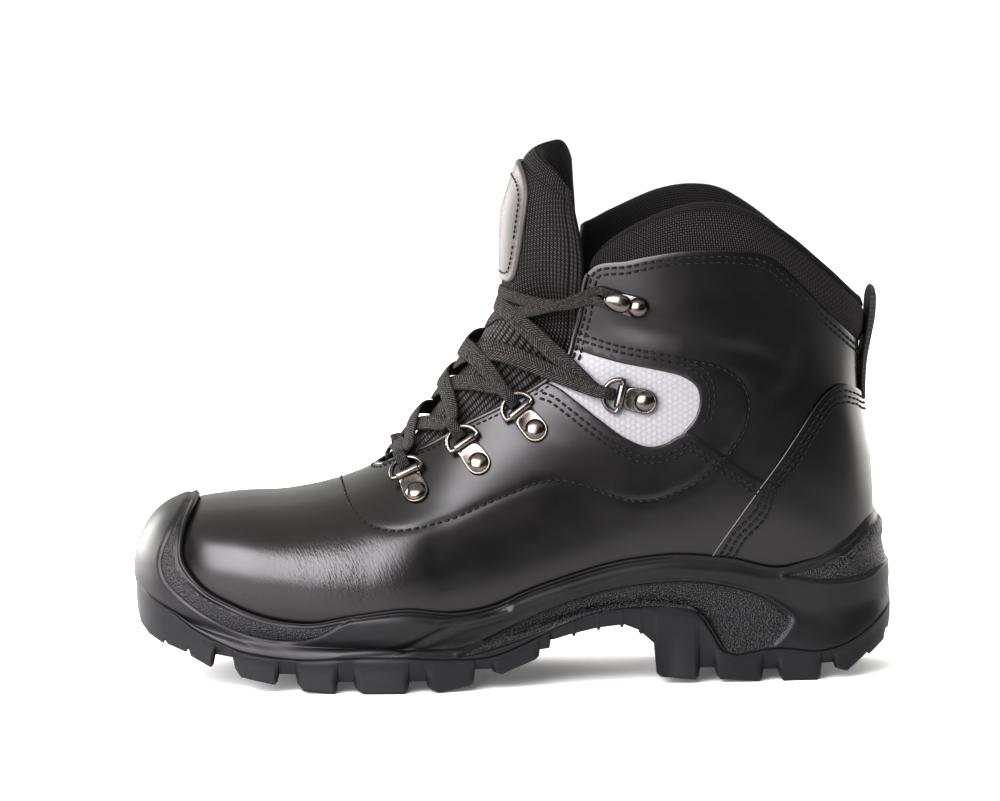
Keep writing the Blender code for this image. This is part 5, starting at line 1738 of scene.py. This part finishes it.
def webbing_finish():
    """Black strap with lengthwise ribs."""
    f = Finish("black strap", (0.008, 0.008, 0.008), 0.65, specular=0.25)
    rib = f.woven(1.6, 0.9)
    f.colour(rib, (0.02, 0.02, 0.02), (0.1, 0.098, 0.1))
    f.bump(rib, 0.25)
    return f.made


def thread_finish():
    """Black sewing thread with its twist."""
    f = Finish("black thread", (0.005, 0.005, 0.005), 0.55, specular=0.3)
    twist = f.noise(2200.0, 2.0)
    f.colour(twist, (0.004, 0.004, 0.004), (0.018, 0.0175, 0.017))
    f.bump(twist, 0.08)
    return f.made


# Stage, light and camera

CAMERA_TURN = -3.0
CAMERA_RISE = 6.0
CAMERA_ROLL = -0.48
CAMERA_AWAY = 1900.0
CAMERA_TARGET = (-5.55, 0.0, 112.4)
CAMERA_PIXELS = 4645.0
IMAGE_WIDE = 1000
SENSOR = 36.0


def put(name, data, right, up, back, spot):
    """A camera or lamp in the scene at a spot, turned by the directions of its own axes."""
    made = bpy.data.objects.new(name, data)
    matrix = np.eye(4)
    matrix[:3] = np.stack([right, up, back, spot], 1)
    made.matrix_world = Matrix(matrix.tolist())
    bpy.context.scene.collection.objects.link(made)
    return made


def build_camera():
    """The photograph's viewpoint: level with the boot's outer side and a little above."""
    turn, rise, roll = (math.radians(value) for value in (CAMERA_TURN, CAMERA_RISE, CAMERA_ROLL))
    back = np.array([math.sin(turn) * math.cos(rise), -math.cos(turn) * math.cos(rise), math.sin(rise)])
    right = np.array([math.cos(turn), math.sin(turn), 0.0])
    up = np.cross(back, right)
    level_right = math.cos(roll) * right + math.sin(roll) * up
    level_up = -math.sin(roll) * right + math.cos(roll) * up
    lens = bpy.data.cameras.new("view")
    lens.sensor_width = SENSOR
    lens.sensor_fit = "HORIZONTAL"
    lens.lens = CAMERA_PIXELS * SENSOR / IMAGE_WIDE
    spot = (np.array(CAMERA_TARGET) + back * CAMERA_AWAY) * MM
    bpy.context.scene.camera = put("view", lens, level_right, level_up, back, spot)


def softbox(name, spot, aim, wide, tall, radiance, tint):
    """A rectangular soft light at a spot, turned to an aim, in metres, of a radiance and tint."""
    lamp = bpy.data.lights.new(name, "AREA")
    lamp.shape = "RECTANGLE"
    lamp.size = wide
    lamp.size_y = tall
    lamp.energy = radiance * math.pi * wide * tall
    lamp.color = tint
    back = unit(np.array(spot, float) - np.array(aim, float))
    right = unit(np.cross([0, 0, 1.0], back))
    put(name, lamp, right, np.cross(back, right), back, spot)


# The floor in metres: half its width, which is also how far back it runs, and its front edge
FLOOR_HALF = 25.0
FLOOR_FRONT = -0.4
# Soft lights in metres: spot, aim, width, height, radiance and tint
SOFTBOXES = {
    "side light": ((-0.639, -0.829, 0.465), (-0.262, -0.269, 0.05), 1.2, 0.97, 11.5, (1.0, 0.96, 1.0)),
    "toe light": ((-1.25, 0.96, 0.3), (-0.1, 0, 0.06), 1.3, 0.8, 9.5, (1.0, 0.98, 0.96)),
    "heel light": ((1.2, 0.8, 0.3), (0.1, 0, 0.1), 1.4, 0.6, 4.5, (1.0, 0.98, 0.96)),
    "back light": ((0.0, 2.2, 0.9), (0, 0, 0.1), 3.6, 1.6, 1.1, (1.0, 0.98, 0.95)),
}


def build_stage():
    """A plain pale floor under a soft sky, with soft lights at the side, the toe, the heel and behind."""
    mesh = bpy.data.meshes.new("floor")
    near = [(-FLOOR_HALF, FLOOR_FRONT, 0), (FLOOR_HALF, FLOOR_FRONT, 0)]
    far = [(FLOOR_HALF, FLOOR_HALF, 0), (-FLOOR_HALF, FLOOR_HALF, 0)]
    mesh.from_pydata(near + far, [], [(0, 1, 2, 3)])
    f = Finish("pale floor", (0.93, 0.93, 0.93), 0.8, specular=0.1)
    f.shader.inputs["Emission Color"].default_value = (1.0, 1.0, 1.0, 1.0)
    f.shader.inputs["Emission Strength"].default_value = 0.16
    mesh.materials.append(f.made)
    floor = bpy.data.objects.new("floor", mesh)
    bpy.context.scene.collection.objects.link(floor)
    for name, values in SOFTBOXES.items():
        softbox(name, *values)
    sky = bpy.data.lights.new("sky", "SUN")
    sky.energy = 2.5
    sky.color = (1.0, 0.975, 0.95)
    sky.angle = math.radians(110)
    put("sky", sky, *np.eye(3), np.zeros(3))
    world = bpy.data.worlds.new("dim surround")
    bpy.context.scene.world = world
    world.use_nodes = True
    surround = world.node_tree.nodes["Background"]
    surround.inputs["Color"].default_value = (1.0, 1.0, 1.0, 1.0)
    surround.inputs["Strength"].default_value = 0.18
    view = bpy.context.scene.view_settings
    view.view_transform = "Standard"
    view.gamma = 0.7


LEATHER = leather_finish()
BADGE = badge_finish()
WEAVE = weave_finish()
LINING = lining_finish()
REFLECTIVE = reflective_finish()
SOLE = sole_finish()
RUBBER = rubber_finish()
FELT = felt_finish()
METAL = metal_finish()
CORD = cord_finish()
WEBBING = webbing_finish()
THREAD = thread_finish()
build_camera()
build_stage()
build_leather()
build_lining()
build_collar()
build_tongue()
build_badge()
build_midsole()
build_outsole()
build_insole()
build_hardware()
build_laces()
build_pull_loop()
build_binding()
build_stitches()
